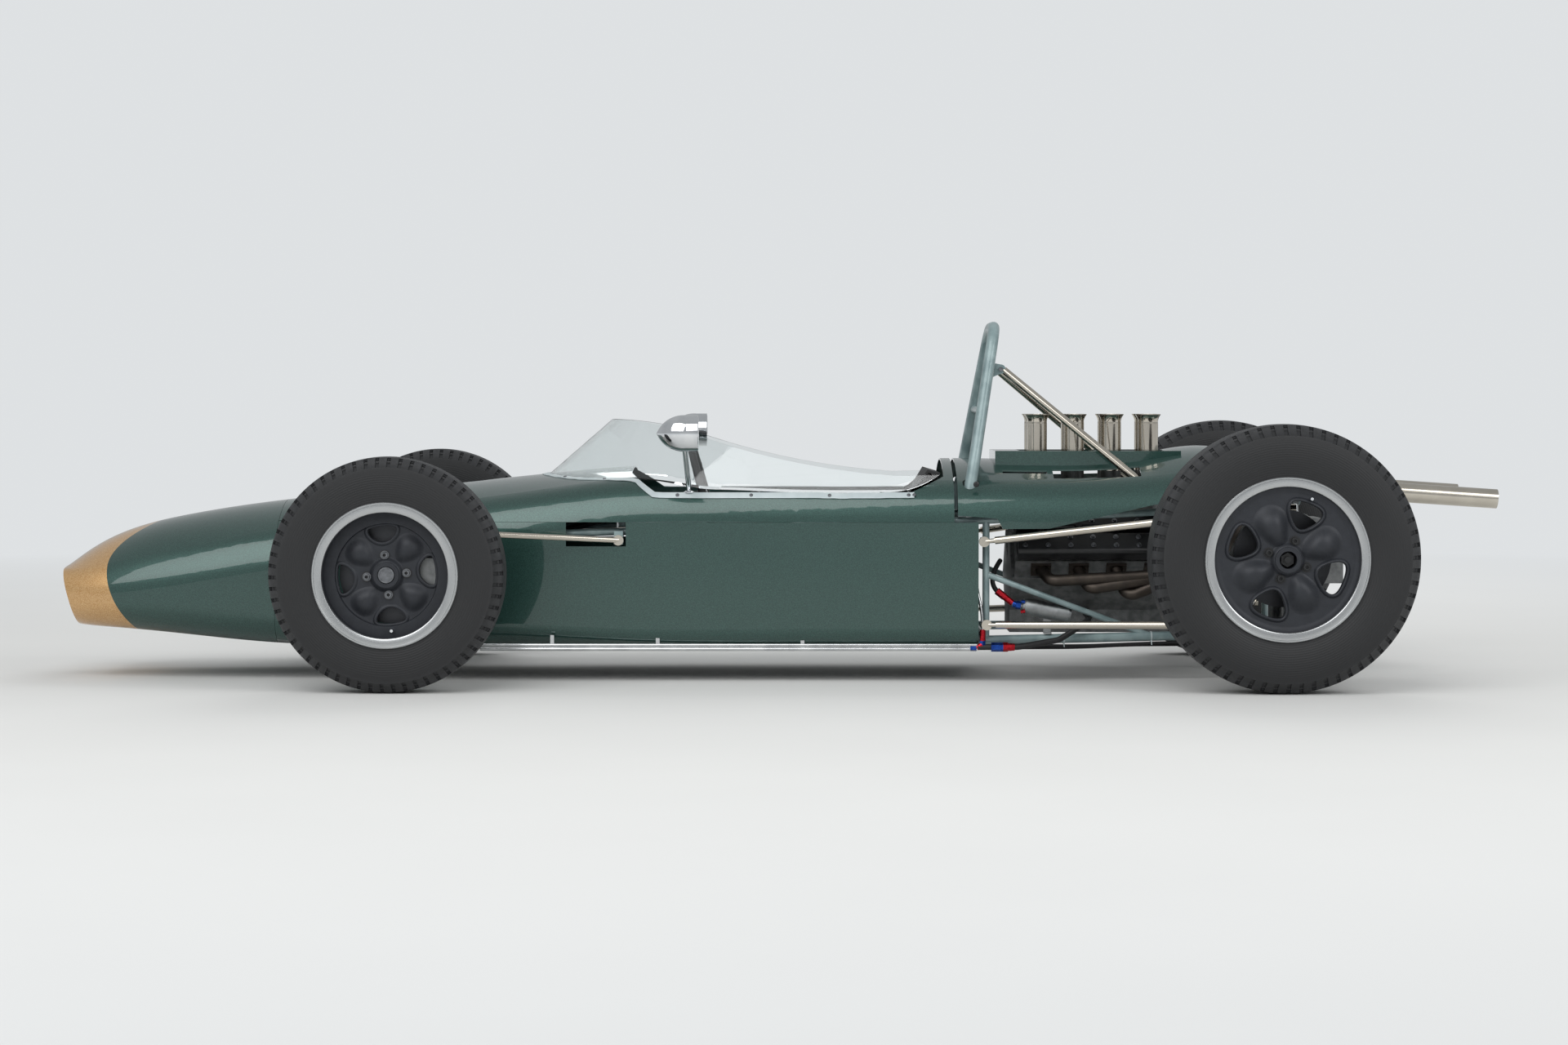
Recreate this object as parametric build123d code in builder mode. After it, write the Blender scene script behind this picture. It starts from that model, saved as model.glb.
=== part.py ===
"""Open wheel single-seater racing car: tubular frame, V8 engine open to view, outboard suspension.

Frame: X runs from the nose to the tail, Y to the driver's right, Z up. The origin is on the ground
below the middle of the car. All sizes are in millimetres.
"""
import os
from math import asin, cos, degrees, radians, sin

from build123d import *

os.makedirs("parts", exist_ok=True)

# ---------------------------------------------------------------- overall sizes
WHEELBASE = 2311.0
FRONT_OVERHANG = 950.0          # front axle to the nose tip
REAR_OVERHANG = 628.0           # rear axle to the ends of the tailpipes
FRONT_TRACK = 1330.0
REAR_TRACK = 1350.0
FRONT_TYRE_RADIUS = 305.0
REAR_TYRE_RADIUS = 347.0

LENGTH = FRONT_OVERHANG + WHEELBASE + REAR_OVERHANG
FRONT_AXLE = FRONT_OVERHANG - LENGTH / 2
REAR_AXLE = FRONT_AXLE + WHEELBASE
LEFT, RIGHT = -1, 1
SIDES = {"left": LEFT, "right": RIGHT}

# ---------------------------------------------------------------- stations along the car
NOSE_SEAM = FRONT_AXLE - 350.0       # nose cone meets the cockpit cowl
SCREEN_FOOT = FRONT_AXLE + 373.0     # foot of the windscreen on the centre line
DASH = FRONT_AXLE + 609.0            # front edge of the cockpit opening
COWL_REAR = FRONT_AXLE + 1478.0      # back edge of the cockpit cowl
PANEL_REAR = FRONT_AXLE + 1543.0     # back edge of the side panels
HOOP_FOOT = FRONT_AXLE + 1507.0      # feet of the roll hoop
BAY_POST = FRONT_AXLE + 1565.0       # upright frame tubes at the front of the engine bay
COVER_FRONT = FRONT_AXLE + 1488.0    # engine cover
COVER_REAR = REAR_AXLE - 61.0
REAR_FRAME = REAR_AXLE + 75.0        # rear frame hoop, just behind the half-shafts

# ---------------------------------------------------------------- bodywork
SKIN = 4.0
PANEL_GAP = 0.8
FLOOR_Z = 92.0
SEAM_Z = 428.0
FLOOR_HALF_WIDTH = 250.0
NOSE_MOUTH_FOOT = FRONT_AXLE - 907.0
NOSE_MOUTH_BOTTOM = 142.0
NOSE_MOUTH_TOP = 302.0
NOSE_RAKE = degrees(asin((FRONT_OVERHANG - 907.0) / (NOSE_MOUTH_TOP - NOSE_MOUTH_BOTTOM)))

# columns: station, half width, bottom, height where the side ends, top, corner radius, shoulder radius
BODY_SECTIONS = [
    (FRONT_AXLE - 800.0, 238.0, 134.0, 232.0, 393.0, 80.0, 112.0),
    (FRONT_AXLE - 650.0, 264.0, 122.0, 250.0, 434.0, 85.0, 130.0),
    (NOSE_SEAM, 290.0, 96.0, 300.0, 480.0, 80.0, 130.0),
    (FRONT_AXLE, 308.0, FLOOR_Z, 345.0, 514.0, 70.0, 130.0),
    (SCREEN_FOOT, 328.0, FLOOR_Z, 400.0, 552.0, 60.0, 120.0),
    (DASH, 342.0, FLOOR_Z, SEAM_Z, 571.0, 50.0, 120.0),
    (FRONT_AXLE + 1000.0, 350.0, FLOOR_Z, SEAM_Z, 575.0, 50.0, 120.0),
    (COWL_REAR, 350.0, FLOOR_Z, SEAM_Z, 594.0, 50.0, 120.0),
    (BAY_POST + 60.0, 350.0, FLOOR_Z, SEAM_Z, 592.0, 50.0, 120.0),
    (REAR_AXLE - 311.0, 335.0, FLOOR_Z, SEAM_Z + 12.0, 606.0, 50.0, 120.0),
    (COVER_REAR, 305.0, FLOOR_Z, SEAM_Z + 30.0, 616.0, 50.0, 120.0),
]


def cross_plane(x, z=0.0, rake=0.0):
    """A plane across the car: its x runs along Y and its y runs up, leaning forward by rake."""
    return Plane(origin=(x, 0, z), x_dir=(0, 1, 0), z_dir=(cos(radians(rake)), 0, sin(radians(rake))))


def body_outline(plane, half_width, bottom, side_end, top, corner, shoulder, inset=0.0):
    """Flat floor, round corners, upright sides, shoulder arcs and one crown arc, as a closed face."""
    width = half_width - inset
    low = bottom + inset
    high = top - inset
    corner_r = corner - inset
    shoulder_r = shoulder - inset
    reach = width - shoulder_r
    rise = high - side_end
    crown = (reach**2 + rise**2 - shoulder_r**2) / (2 * (rise - shoulder_r))
    lean = asin(reach / (crown - shoulder_r))
    meet = (reach + shoulder_r * sin(lean), side_end + shoulder_r * cos(lean))
    mid = radians(45.0) + lean / 2
    bulge = (reach + shoulder_r * sin(mid), side_end + shoulder_r * cos(mid))
    foot = width - corner_r
    diagonal = corner_r * sin(radians(45.0))
    with BuildSketch(plane) as outline:
        with BuildLine():
            Line((-foot, low), (foot, low))
            ThreePointArc((foot, low), (foot + diagonal, low + corner_r - diagonal), (width, low + corner_r))
            Line((width, low + corner_r), (width, side_end))
            ThreePointArc((width, side_end), bulge, meet)
            ThreePointArc(meet, (0, high), (-meet[0], meet[1]))
            ThreePointArc((-meet[0], meet[1]), (-bulge[0], bulge[1]), (-width, side_end))
            Line((-width, side_end), (-width, low + corner_r))
            ThreePointArc((-width, low + corner_r), (-foot - diagonal, low + corner_r - diagonal), (-foot, low))
        make_face()
    return outline.sketch


def body_form(inset=0.0):
    """The whole body as one smooth solid, from the mouth of the nose to the end of the engine cover."""
    mouth_height = (NOSE_MOUTH_TOP - NOSE_MOUTH_BOTTOM) / cos(radians(NOSE_RAKE))
    mouth = body_outline(
        cross_plane(NOSE_MOUTH_FOOT, NOSE_MOUTH_BOTTOM, NOSE_RAKE),
        192.0, 0.0, mouth_height / 2 + 2.0, mouth_height, 68.0, 74.0, inset,
    )
    sections = [mouth]
    for station, *sizes in BODY_SECTIONS:
        sections.append(body_outline(cross_plane(station), *sizes, inset))
    with BuildPart() as form:
        loft(sections)
    return form.part


def block(x, y, z, mode=Mode.ADD):
    """A box given by its ranges along X, Y and Z."""
    middle = ((x[0] + x[1]) / 2, (y[0] + y[1]) / 2, (z[0] + z[1]) / 2)
    with Locations(middle):
        Box(x[1] - x[0], y[1] - y[0], z[1] - z[0], mode=mode)


def rod(start, end, radius, mode=Mode.ADD):
    """A straight round bar between two points."""
    axis = Vector(*end) - Vector(*start)
    with Locations(Plane(origin=start, z_dir=axis)):
        Cylinder(radius, axis.length, align=(Align.CENTER, Align.CENTER, Align.MIN), mode=mode)


def eye(centre, axis, radius, width, mode=Mode.ADD):
    """A round eye, boss or hole centred on a point."""
    with Locations(Plane(origin=centre, z_dir=axis)):
        Cylinder(radius, width, mode=mode)


def along(start, end, share):
    """The point at a share of the way from start to end."""
    return tuple(a + (b - a) * share for a, b in zip(start, end))


def bent_tube(points, radii, radius, mode=Mode.ADD):
    """A round tube along straight runs joined by arcs."""
    with BuildLine() as path:
        FilletPolyline(*points, radius=radii)
    start = path.line @ 0
    with BuildSketch(Plane(origin=start, z_dir=path.line % 0)) as profile:
        Circle(radius)
    sweep(profile.sketch, path=path.line, mode=mode)


def clevis(centre, root, axis, width, thickness=5.0, height=20.0):
    """Two ears on a tube that hold an eye between them, with the bolt along axis."""
    reach = Vector(*root) - Vector(*centre)
    middle = Vector(*centre) + reach * 0.5
    for hand in (-1, 1):
        offset = Vector(*axis) * (hand * (width / 2 + 0.3 + thickness / 2))
        with BuildSketch(Plane(origin=middle + offset, x_dir=reach, z_dir=axis)) as ear:
            SlotCenterToCenter(reach.length, height)
        extrude(ear.sketch, amount=thickness / 2, both=True)


# ---------------------------------------------------------------- suspension and wheel positions
STEER_LOCK = 18.0
KINGPIN_INSET = 65.0                 # kingpin inboard of the wheel's middle plane
BALL_JOINT_RISE = 110.0              # ball joints above and below the front axle line
KINGPIN_Y = FRONT_TRACK / 2 - KINGPIN_INSET
UPPER_BALL_Z = FRONT_TYRE_RADIUS + BALL_JOINT_RISE
LOWER_BALL_Z = FRONT_TYRE_RADIUS - BALL_JOINT_RISE
BALL_EYE = (17.0, 24.0)              # radius and height of the ball joint housings
PIN_GAP = 0.5
SEAT_GAP = 0.3                       # between a piece and the piece that it is bolted to

STEER_ARM = 100.0                    # kingpin to the tie rod's eye, ahead of the axle
TIE_ROD_Z = 262.0
TIE_ROD_RADIUS = 8.0
RACK_HOUSING_HALF = 190.0
RACK_CLEARANCE = 0.5

ROD_RADIUS = 8.0                     # polished suspension rods
REAR_ROD_RADIUS = 10.0
FRONT_ROD_END = (FRONT_AXLE + 579.0, -343.0, 380.0)
TOP_LINK_INNER = (FRONT_AXLE - 20.0, -240.0, 410.0)
LOWER_LEG_FRONT = (FRONT_AXLE - 130.0, -245.0, 186.0)
LOWER_LEG_REAR = (FRONT_AXLE + 190.0, -262.0, 186.0)
FRONT_DAMPER_TOP = (FRONT_AXLE - 72.0, -228.0, 425.0)
FRONT_DAMPER_FOOT = (FRONT_AXLE - 44.0, -530.0, 222.0)

REAR_UPPER_RISE = 123.0              # rear upright above and below the rear axle line
REAR_LOWER_DROP = 182.0
REAR_UPRIGHT_Y = REAR_TRACK / 2 - 80.0
REAR_FOOT_Y = REAR_TRACK / 2 - 130.0
SHAFT_INNER_Y = 148.3                # half-shafts start at the gearbox flanges
UPPER_RADIUS_ROD_FRONT = (FRONT_AXLE + 1558.0, -345.0, 376.0)
LOWER_RADIUS_ROD_FRONT = (FRONT_AXLE + 1565.0, -345.0, 153.0)

# columns: tyre radius, half section, rim half width, rim radius, barrel radius, spider offset, disc offset
WHEEL_SIZES = {
    "front": (FRONT_TYRE_RADIUS, 80.0, 82.0, 188.0, 164.0, 36.0, -18.0),
    "rear": (REAR_TYRE_RADIUS, 103.0, 98.0, 212.0, 188.0, 62.0, -22.0),
}
RIM_WALL = 6.0
BRAKE_DISC_RADIUS = 127.0
BRAKE_DISC_HALF = 5.0
SPINDLE_RADIUS = 16.0
RUNNING_FIT = 0.05
HUB_RADIUS = 34.0
BOLT_CIRCLE = 101.6
SPIDER_THICKNESS = 10.0
LOBE_ANGLES = (45.0, 135.0, 225.0, 315.0)
WINDOW_ANGLES = (0.0, 90.0, 180.0, 270.0)


def wheel_place(end, side):
    """Hub centre of a wheel and the plane whose z points outboard along its axle."""
    axle, track = (FRONT_AXLE, FRONT_TRACK) if end == "front" else (REAR_AXLE, REAR_TRACK)
    radius = WHEEL_SIZES[end][0]
    return Plane(origin=(axle, side * track / 2, radius), x_dir=(1, 0, 0), z_dir=(0, side, 0))


def ring_profile(points):
    """A closed outline in the XZ plane, x as radius and z as distance outboard."""
    with BuildSketch(Plane.XZ) as profile:
        with BuildLine():
            Polyline(*points, close=True)
        make_face()
    return profile.sketch


def make_tyre(end):
    """A cross-ply tyre: flat tread, round shoulders and full sidewalls down to the rim seat."""
    radius, half, rim_half, rim_radius, barrel, _, _ = WHEEL_SIZES[end]
    seat = barrel + RIM_WALL + 0.3
    lip = rim_half - RIM_WALL - 0.3
    tread = half * 0.62
    with BuildSketch(Plane.XZ) as profile:
        with BuildLine():
            Line((seat, -lip), (seat, lip))
            Line((seat, lip), (rim_radius + 0.5, lip))
            ThreePointArc((rim_radius + 0.5, lip), ((rim_radius + radius) / 2 - 4, half), (radius - 14, tread + 12))
            ThreePointArc((radius - 14, tread + 12), (radius - 4, tread + 5), (radius - 2, tread))
            ThreePointArc((radius - 2, tread), (radius, 0), (radius - 2, -tread))
            ThreePointArc((radius - 2, -tread), (radius - 4, -tread - 5), (radius - 14, -tread - 12))
            ThreePointArc((radius - 14, -tread - 12), ((rim_radius + radius) / 2 - 4, -half), (rim_radius + 0.5, -lip))
            Line((rim_radius + 0.5, -lip), (seat, -lip))
        make_face()
    with BuildPart() as tyre:
        revolve(profile.sketch, axis=Axis.Z)
    return tyre.part


def make_wheel(end):
    """A cast wheel: deep barrel, dished spider with four windows and four bulged lobes."""
    _, _, rim_half, rim_radius, barrel, spider, _ = WHEEL_SIZES[end]
    outer = barrel + RIM_WALL
    barrel_points = [
        (barrel, -rim_half + 12), (barrel + 8, -rim_half), (rim_radius, -rim_half),
        (rim_radius, -rim_half + RIM_WALL), (outer, -rim_half + RIM_WALL), (outer, rim_half - RIM_WALL),
        (rim_radius, rim_half - RIM_WALL), (rim_radius, rim_half), (barrel + 8, rim_half), (barrel, rim_half - 12),
    ]
    hub_face = spider - 6.0
    spider_points = [
        (SPINDLE_RADIUS + 6, hub_face - 24), (HUB_RADIUS + 26, hub_face - 24), (HUB_RADIUS + 40, spider - 14),
        (barrel, spider - SPIDER_THICKNESS - 4), (barrel, spider), (HUB_RADIUS + 44, spider - 2),
        (HUB_RADIUS + 24, hub_face), (SPINDLE_RADIUS + 6, hub_face),
    ]
    lobe_reach = barrel - 16.0
    lobe_root = HUB_RADIUS + 8.0
    lobe_wide = 0.19 * barrel
    with BuildSketch(Plane.XY) as pear:
        with BuildLine():
            Line((lobe_root, 0), (lobe_reach, 0))
            ThreePointArc(
                (lobe_reach, 0),
                (lobe_reach - lobe_wide * 0.32, lobe_wide * 0.78),
                (lobe_reach - lobe_wide * 1.1, lobe_wide),
            )
            Line((lobe_reach - lobe_wide * 1.1, lobe_wide), (lobe_root, lobe_wide * 0.4))
            Line((lobe_root, lobe_wide * 0.4), (lobe_root, 0))
        make_face()
    with BuildPart() as lobe:
        revolve(pear.sketch, axis=Axis.X)
        split(bisect_by=Plane.XY, keep=Keep.TOP)
    with BuildSketch(Plane.XY.offset(spider - 40)) as window:
        with PolarLocations(0, len(WINDOW_ANGLES)):
            with BuildLine():
                Polyline(
                    (barrel * 0.52, 0), (barrel * 0.66, barrel * 0.17), (barrel * 0.86, barrel * 0.13),
                    (barrel * 0.86, -barrel * 0.13), (barrel * 0.66, -barrel * 0.17), close=True,
                )
            make_face()
        fillet(window.vertices(), radius=barrel * 0.06)
    with BuildPart() as wheel:
        revolve(ring_profile(barrel_points), axis=Axis.Z)
        revolve(ring_profile(spider_points), axis=Axis.Z)
        for angle in LOBE_ANGLES:
            add(lobe.part.moved(Location((0, 0, spider - 8), (0, 0, angle))))
        extrude(window.sketch, amount=80, mode=Mode.SUBTRACT)
        with Locations(Plane.XY.offset(hub_face)):
            with PolarLocations(BOLT_CIRCLE / 2, 4):
                Cylinder(8.0, 14.0, align=(Align.CENTER, Align.CENTER, Align.MIN))
    return wheel.part


def make_hub(end):
    """Brake disc, bell and hub of one wheel, turning with it."""
    _, _, _, _, _, spider, disc = WHEEL_SIZES[end]
    face = spider - 30.0
    bore = SPINDLE_RADIUS + RUNNING_FIT if end == "front" else 0.0
    points = [
        (bore, disc - 6), (HUB_RADIUS + 2, disc - 6), (HUB_RADIUS + 14, disc - 5),
        (BRAKE_DISC_RADIUS, disc - BRAKE_DISC_HALF), (BRAKE_DISC_RADIUS, disc + BRAKE_DISC_HALF),
        (HUB_RADIUS + 30, disc + BRAKE_DISC_HALF), (HUB_RADIUS + 24, face - 6), (HUB_RADIUS + 24, face - 0.2),
        (bore, face - 0.2),
    ]
    with BuildPart() as hub:
        revolve(ring_profile(points), axis=Axis.Z)
    return hub.part


# ---------------------------------------------------------------- wheels, tyres and hubs
for end in ("front", "rear"):
    wheel_form = make_wheel(end)
    tyre_form = make_tyre(end)
    hub_form = make_hub(end)
    for side_name, side in SIDES.items():
        place = wheel_place(end, side).location
        corner = f"{end}_{side_name}"

        with BuildPart() as wheel:
            add(wheel_form.moved(place))
        wheel.part.label = f"wheel_{corner}"
        export_step(wheel.part, f"parts/wheel_{corner}.step")

        with BuildPart() as tyre:
            add(tyre_form.moved(place))
        tyre.part.label = f"tyre_{corner}"
        export_step(tyre.part, f"parts/tyre_{corner}.step")

        with BuildPart() as hub:
            add(hub_form.moved(place))
            if end == "rear":
                inner_y = side * SHAFT_INNER_Y
                flange_y = side * (SHAFT_INNER_Y + 34.0)
                hub_y = side * (REAR_TRACK / 2 + WHEEL_SIZES["rear"][6])
                rod((REAR_AXLE, inner_y, REAR_TYRE_RADIUS), (REAR_AXLE, flange_y, REAR_TYRE_RADIUS), 42.0)
                rod((REAR_AXLE, flange_y, REAR_TYRE_RADIUS), (REAR_AXLE, hub_y, REAR_TYRE_RADIUS), SPINDLE_RADIUS)
        hub.part.label = f"brake_disc_{corner}"
        export_step(hub.part, f"parts/brake_disc_{corner}.step")


# ---------------------------------------------------------------- front uprights
def make_front_upright(side):
    """Upright between its ball joints, with stub axle, steering arm and brake caliper."""
    y = side * KINGPIN_Y
    low = LOWER_BALL_Z + BALL_EYE[1] / 2 + PIN_GAP
    high = UPPER_BALL_Z - BALL_EYE[1] / 2 - PIN_GAP
    wheel_y = side * FRONT_TRACK / 2
    spider, disc = WHEEL_SIZES["front"][5], WHEEL_SIZES["front"][6]
    disc_y = wheel_y + side * disc
    carrier_end = disc_y - side * 12.0
    stub_end = wheel_y + side * (spider - 34.0)
    arm_z = TIE_ROD_Z - 15.0
    caliper_x = (FRONT_AXLE + 72.0, FRONT_AXLE + 138.0)
    caliper_y = sorted((y + side * 4.0, disc_y + side * 24.0))
    slot_y = (disc_y - BRAKE_DISC_HALF - 2.0, disc_y + BRAKE_DISC_HALF + 2.0)
    with BuildPart() as upright:
        rod((FRONT_AXLE, y, low), (FRONT_AXLE, y, high), 15.0)
        rod((FRONT_AXLE, y + side * 4.0, FRONT_TYRE_RADIUS), (FRONT_AXLE, carrier_end, FRONT_TYRE_RADIUS), 38.0)
        rod((FRONT_AXLE, y, FRONT_TYRE_RADIUS), (FRONT_AXLE, stub_end, FRONT_TYRE_RADIUS), SPINDLE_RADIUS)
        block((FRONT_AXLE - STEER_ARM, FRONT_AXLE), (y - 8.0, y + 8.0), (arm_z - 6.0, arm_z + 6.0))
        eye((FRONT_AXLE - STEER_ARM, y, arm_z), (0, 0, 1), 13.0, 12.0)
        block((FRONT_AXLE, FRONT_AXLE + 80.0), (y - 6.0, y + 6.0), (FRONT_TYRE_RADIUS - 30.0, FRONT_TYRE_RADIUS + 30.0))
        block(caliper_x, caliper_y, (FRONT_TYRE_RADIUS - 42.0, FRONT_TYRE_RADIUS + 42.0))
        block((caliper_x[0] - 1.0, FRONT_AXLE + BRAKE_DISC_RADIUS + 3.0), slot_y,
              (FRONT_TYRE_RADIUS - 60.0, FRONT_TYRE_RADIUS + 60.0), Mode.SUBTRACT)
    return upright.part


for side_name, side in SIDES.items():
    with BuildPart() as front_upright:
        add(make_front_upright(side))
    front_upright.part.label = f"front_upright_{side_name}"
    export_step(front_upright.part, f"parts/front_upright_{side_name}.step")

# ---------------------------------------------------------------- front suspension arms
LOWER_BALL = (FRONT_AXLE, -KINGPIN_Y, LOWER_BALL_Z)
UPPER_BALL = (FRONT_AXLE, -KINGPIN_Y, UPPER_BALL_Z)

with BuildPart() as front_lower_wishbones:
    eye(LOWER_BALL, (0, 0, 1), *BALL_EYE)
    for inner in (LOWER_LEG_FRONT, LOWER_LEG_REAR):
        rod(along(LOWER_BALL, inner, 0.03), inner, ROD_RADIUS + 2.0)
        eye(inner, (1, 0, 0), 14.0, 34.0)
    brace_front = along(LOWER_BALL, LOWER_LEG_FRONT, 0.2)
    brace_rear = along(LOWER_BALL, LOWER_LEG_REAR, 0.2)
    rod(brace_front, brace_rear, 9.0)
    foot = FRONT_DAMPER_FOOT
    block((foot[0] - 12.0, foot[0] + 12.0), (foot[1] - 5.0, foot[1] + 5.0), (LOWER_BALL_Z - 6.0, foot[2] - 14.3))
    mirror(about=Plane.XZ)
front_lower_wishbones.part.label = "front_lower_wishbones"
export_step(front_lower_wishbones.part, "parts/front_lower_wishbones.step")

ROD_ROOT_SHARE = 0.22                # the radius rod joins the top link inboard of the wheel's sweep
with BuildPart() as front_upper_arms:
    eye(UPPER_BALL, (0, 0, 1), *BALL_EYE)
    rod(along(UPPER_BALL, TOP_LINK_INNER, 0.03), TOP_LINK_INNER, ROD_RADIUS)
    eye(TOP_LINK_INNER, (1, 0, 0), 13.0, 18.0)
    rod(along(UPPER_BALL, TOP_LINK_INNER, ROD_ROOT_SHARE), FRONT_ROD_END, ROD_RADIUS)
    eye(along(UPPER_BALL, TOP_LINK_INNER, ROD_ROOT_SHARE), (0, 0, 1), 13.0, 22.0)
    eye(FRONT_ROD_END, (0, 1, 0), 14.0, 14.0)
    mirror(about=Plane.XZ)
front_upper_arms.part.label = "front_upper_arms"
export_step(front_upper_arms.part, "parts/front_upper_arms.step")

DAMPER_EYE = 16.0
DAMPER_ROD = 7.5


def spring_damper(foot, top, wire, coil_radius, turns):
    """Coil spring over a damper: body, rod, spring seats and end eyes."""
    spring_low = along(foot, top, 0.22)
    spring_high = along(foot, top, 0.82)
    rod(foot, along(foot, top, 0.08), DAMPER_ROD)
    rod(along(foot, top, 0.06), spring_high, 20.0)
    rod(spring_high, top, DAMPER_ROD)
    rod(spring_low, along(foot, top, 0.25), coil_radius + wire / 2 + 2.0)
    rod(along(foot, top, 0.80), along(foot, top, 0.83), coil_radius + wire / 2 + 2.0)
    for turn in range(turns):
        share = 0.28 + (0.80 - 0.28) * turn / turns
        rod(along(foot, top, share), along(foot, top, share + 0.03), coil_radius + wire / 2)
    for end_point in (foot, top):
        eye(end_point, (1, 0, 0), 14.0, DAMPER_EYE)


with BuildPart() as front_spring_dampers:
    spring_damper(FRONT_DAMPER_FOOT, FRONT_DAMPER_TOP, 9.0, 28.0, 7)
    mirror(about=Plane.XZ)
front_spring_dampers.part.label = "front_spring_dampers"
export_step(front_spring_dampers.part, "parts/front_spring_dampers.step")

# ---------------------------------------------------------------- steering
RACK_X = FRONT_AXLE - STEER_ARM
STEERING_WHEEL_CENTRE = (FRONT_AXLE + 800.0, 0.0, 498.0)
STEERING_WHEEL_RADIUS = 145.0
COLUMN_FOOT = (RACK_X + 40.0, 0.0, TIE_ROD_Z + 4.0)
COLUMN_RADIUS = 9.5
STEERING_HUB_HALF = 5.0
COLUMN_AXIS = Vector(*STEERING_WHEEL_CENTRE) - Vector(*COLUMN_FOOT)

with BuildPart() as steering_rack:
    rod((RACK_X, -KINGPIN_Y, TIE_ROD_Z), (RACK_X, KINGPIN_Y, TIE_ROD_Z), TIE_ROD_RADIUS)
    for side in SIDES.values():
        eye((RACK_X, side * KINGPIN_Y, TIE_ROD_Z), (0, 0, 1), 12.0, 17.0)
steering_rack.part.label = "steering_rack"
export_step(steering_rack.part, "parts/steering_rack.step")

with BuildPart() as rack_housing:
    rod((RACK_X, -RACK_HOUSING_HALF, TIE_ROD_Z), (RACK_X, RACK_HOUSING_HALF, TIE_ROD_Z), 22.0)
    rod((RACK_X, -RACK_HOUSING_HALF, TIE_ROD_Z), (RACK_X, RACK_HOUSING_HALF, TIE_ROD_Z),
        TIE_ROD_RADIUS + RACK_CLEARANCE, Mode.SUBTRACT)
rack_housing.part.label = "rack_housing"
export_step(rack_housing.part, "parts/rack_housing.step")

with BuildPart() as steering_column:
    hub_share = (STEERING_HUB_HALF + SEAT_GAP) / COLUMN_AXIS.length
    rod(COLUMN_FOOT, along(COLUMN_FOOT, STEERING_WHEEL_CENTRE, 1.0 - hub_share), COLUMN_RADIUS)
steering_column.part.label = "steering_column"
export_step(steering_column.part, "parts/steering_column.step")

with BuildPart() as steering_wheel:
    with Locations(Plane(origin=STEERING_WHEEL_CENTRE, z_dir=COLUMN_AXIS, x_dir=(0, 1, 0))):
        Torus(STEERING_WHEEL_RADIUS, 11.0)
        Cylinder(26.0, 2 * STEERING_HUB_HALF)
        with PolarLocations(0, 3, start_angle=30.0):
            with Locations((STEERING_WHEEL_RADIUS / 2, 0, 0)):
                Box(STEERING_WHEEL_RADIUS - 6.0, 26.0, 4.0)
steering_wheel.part.label = "steering_wheel"
export_step(steering_wheel.part, "parts/steering_wheel.step")

# ---------------------------------------------------------------- rear suspension
REAR_WHEEL_Z = REAR_TYRE_RADIUS
UPRIGHT_TOP = (REAR_AXLE, -REAR_UPRIGHT_Y, REAR_WHEEL_Z + REAR_UPPER_RISE)
UPRIGHT_FOOT = (REAR_AXLE, -REAR_FOOT_Y, REAR_WHEEL_Z - REAR_LOWER_DROP)
REAR_TOP_INNER = (REAR_AXLE + 22.0, -238.0, REAR_WHEEL_Z + 90.0)
REAR_LOWER_INNER = (REAR_AXLE, -80.0, 152.0)
REAR_DAMPER_TOP = (REAR_FRAME, -360.0, REAR_WHEEL_Z + 140.0)
REAR_DAMPER_FOOT = (REAR_FRAME - 2.0, -515.0, 204.0)
UPRIGHT_HALF = 70.0
TOP_BOSS_HALF = 17.0
EYE_GAP = 0.3
EYE_WIDTH = 26.0
ROD_EYE_WIDTH = 12.0

with BuildPart() as rear_uprights:
    hub_inner = (REAR_AXLE, -REAR_UPRIGHT_Y + 24.0, REAR_WHEEL_Z)
    hub_outer = (REAR_AXLE, -REAR_TRACK / 2 + 36.0, REAR_WHEEL_Z)
    rod(hub_inner, hub_outer, 42.0)
    rod((REAR_AXLE, -REAR_UPRIGHT_Y + 12.0, REAR_WHEEL_Z), UPRIGHT_TOP, 16.0)
    rod((REAR_AXLE, -REAR_UPRIGHT_Y + 12.0, REAR_WHEEL_Z), UPRIGHT_FOOT, 18.0)
    rod((REAR_AXLE - UPRIGHT_HALF, UPRIGHT_FOOT[1], UPRIGHT_FOOT[2]),
        (REAR_AXLE + UPRIGHT_HALF, UPRIGHT_FOOT[1], UPRIGHT_FOOT[2]), 13.0)
    rod((REAR_AXLE - TOP_BOSS_HALF, UPRIGHT_TOP[1], UPRIGHT_TOP[2]),
        (REAR_AXLE + TOP_BOSS_HALF, UPRIGHT_TOP[1], UPRIGHT_TOP[2]), 13.0)
    rod((REAR_AXLE, hub_inner[1] + 40, REAR_WHEEL_Z), (REAR_AXLE, hub_outer[1] - 40, REAR_WHEEL_Z),
        SPINDLE_RADIUS + RUNNING_FIT, Mode.SUBTRACT)
    mirror(about=Plane.XZ)
rear_uprights.part.label = "rear_uprights"
export_step(rear_uprights.part, "parts/rear_uprights.step")

with BuildPart() as rear_top_links:
    link_outer = (REAR_AXLE + TOP_BOSS_HALF + EYE_GAP + EYE_WIDTH / 2, UPRIGHT_TOP[1], UPRIGHT_TOP[2])
    rod(link_outer, REAR_TOP_INNER, REAR_ROD_RADIUS)
    eye(link_outer, (1, 0, 0), 15.0, EYE_WIDTH)
    eye(REAR_TOP_INNER, (1, 0, 0), 15.0, 20.0)
    mirror(about=Plane.XZ)
rear_top_links.part.label = "rear_top_links"
export_step(rear_top_links.part, "parts/rear_top_links.step")

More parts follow.
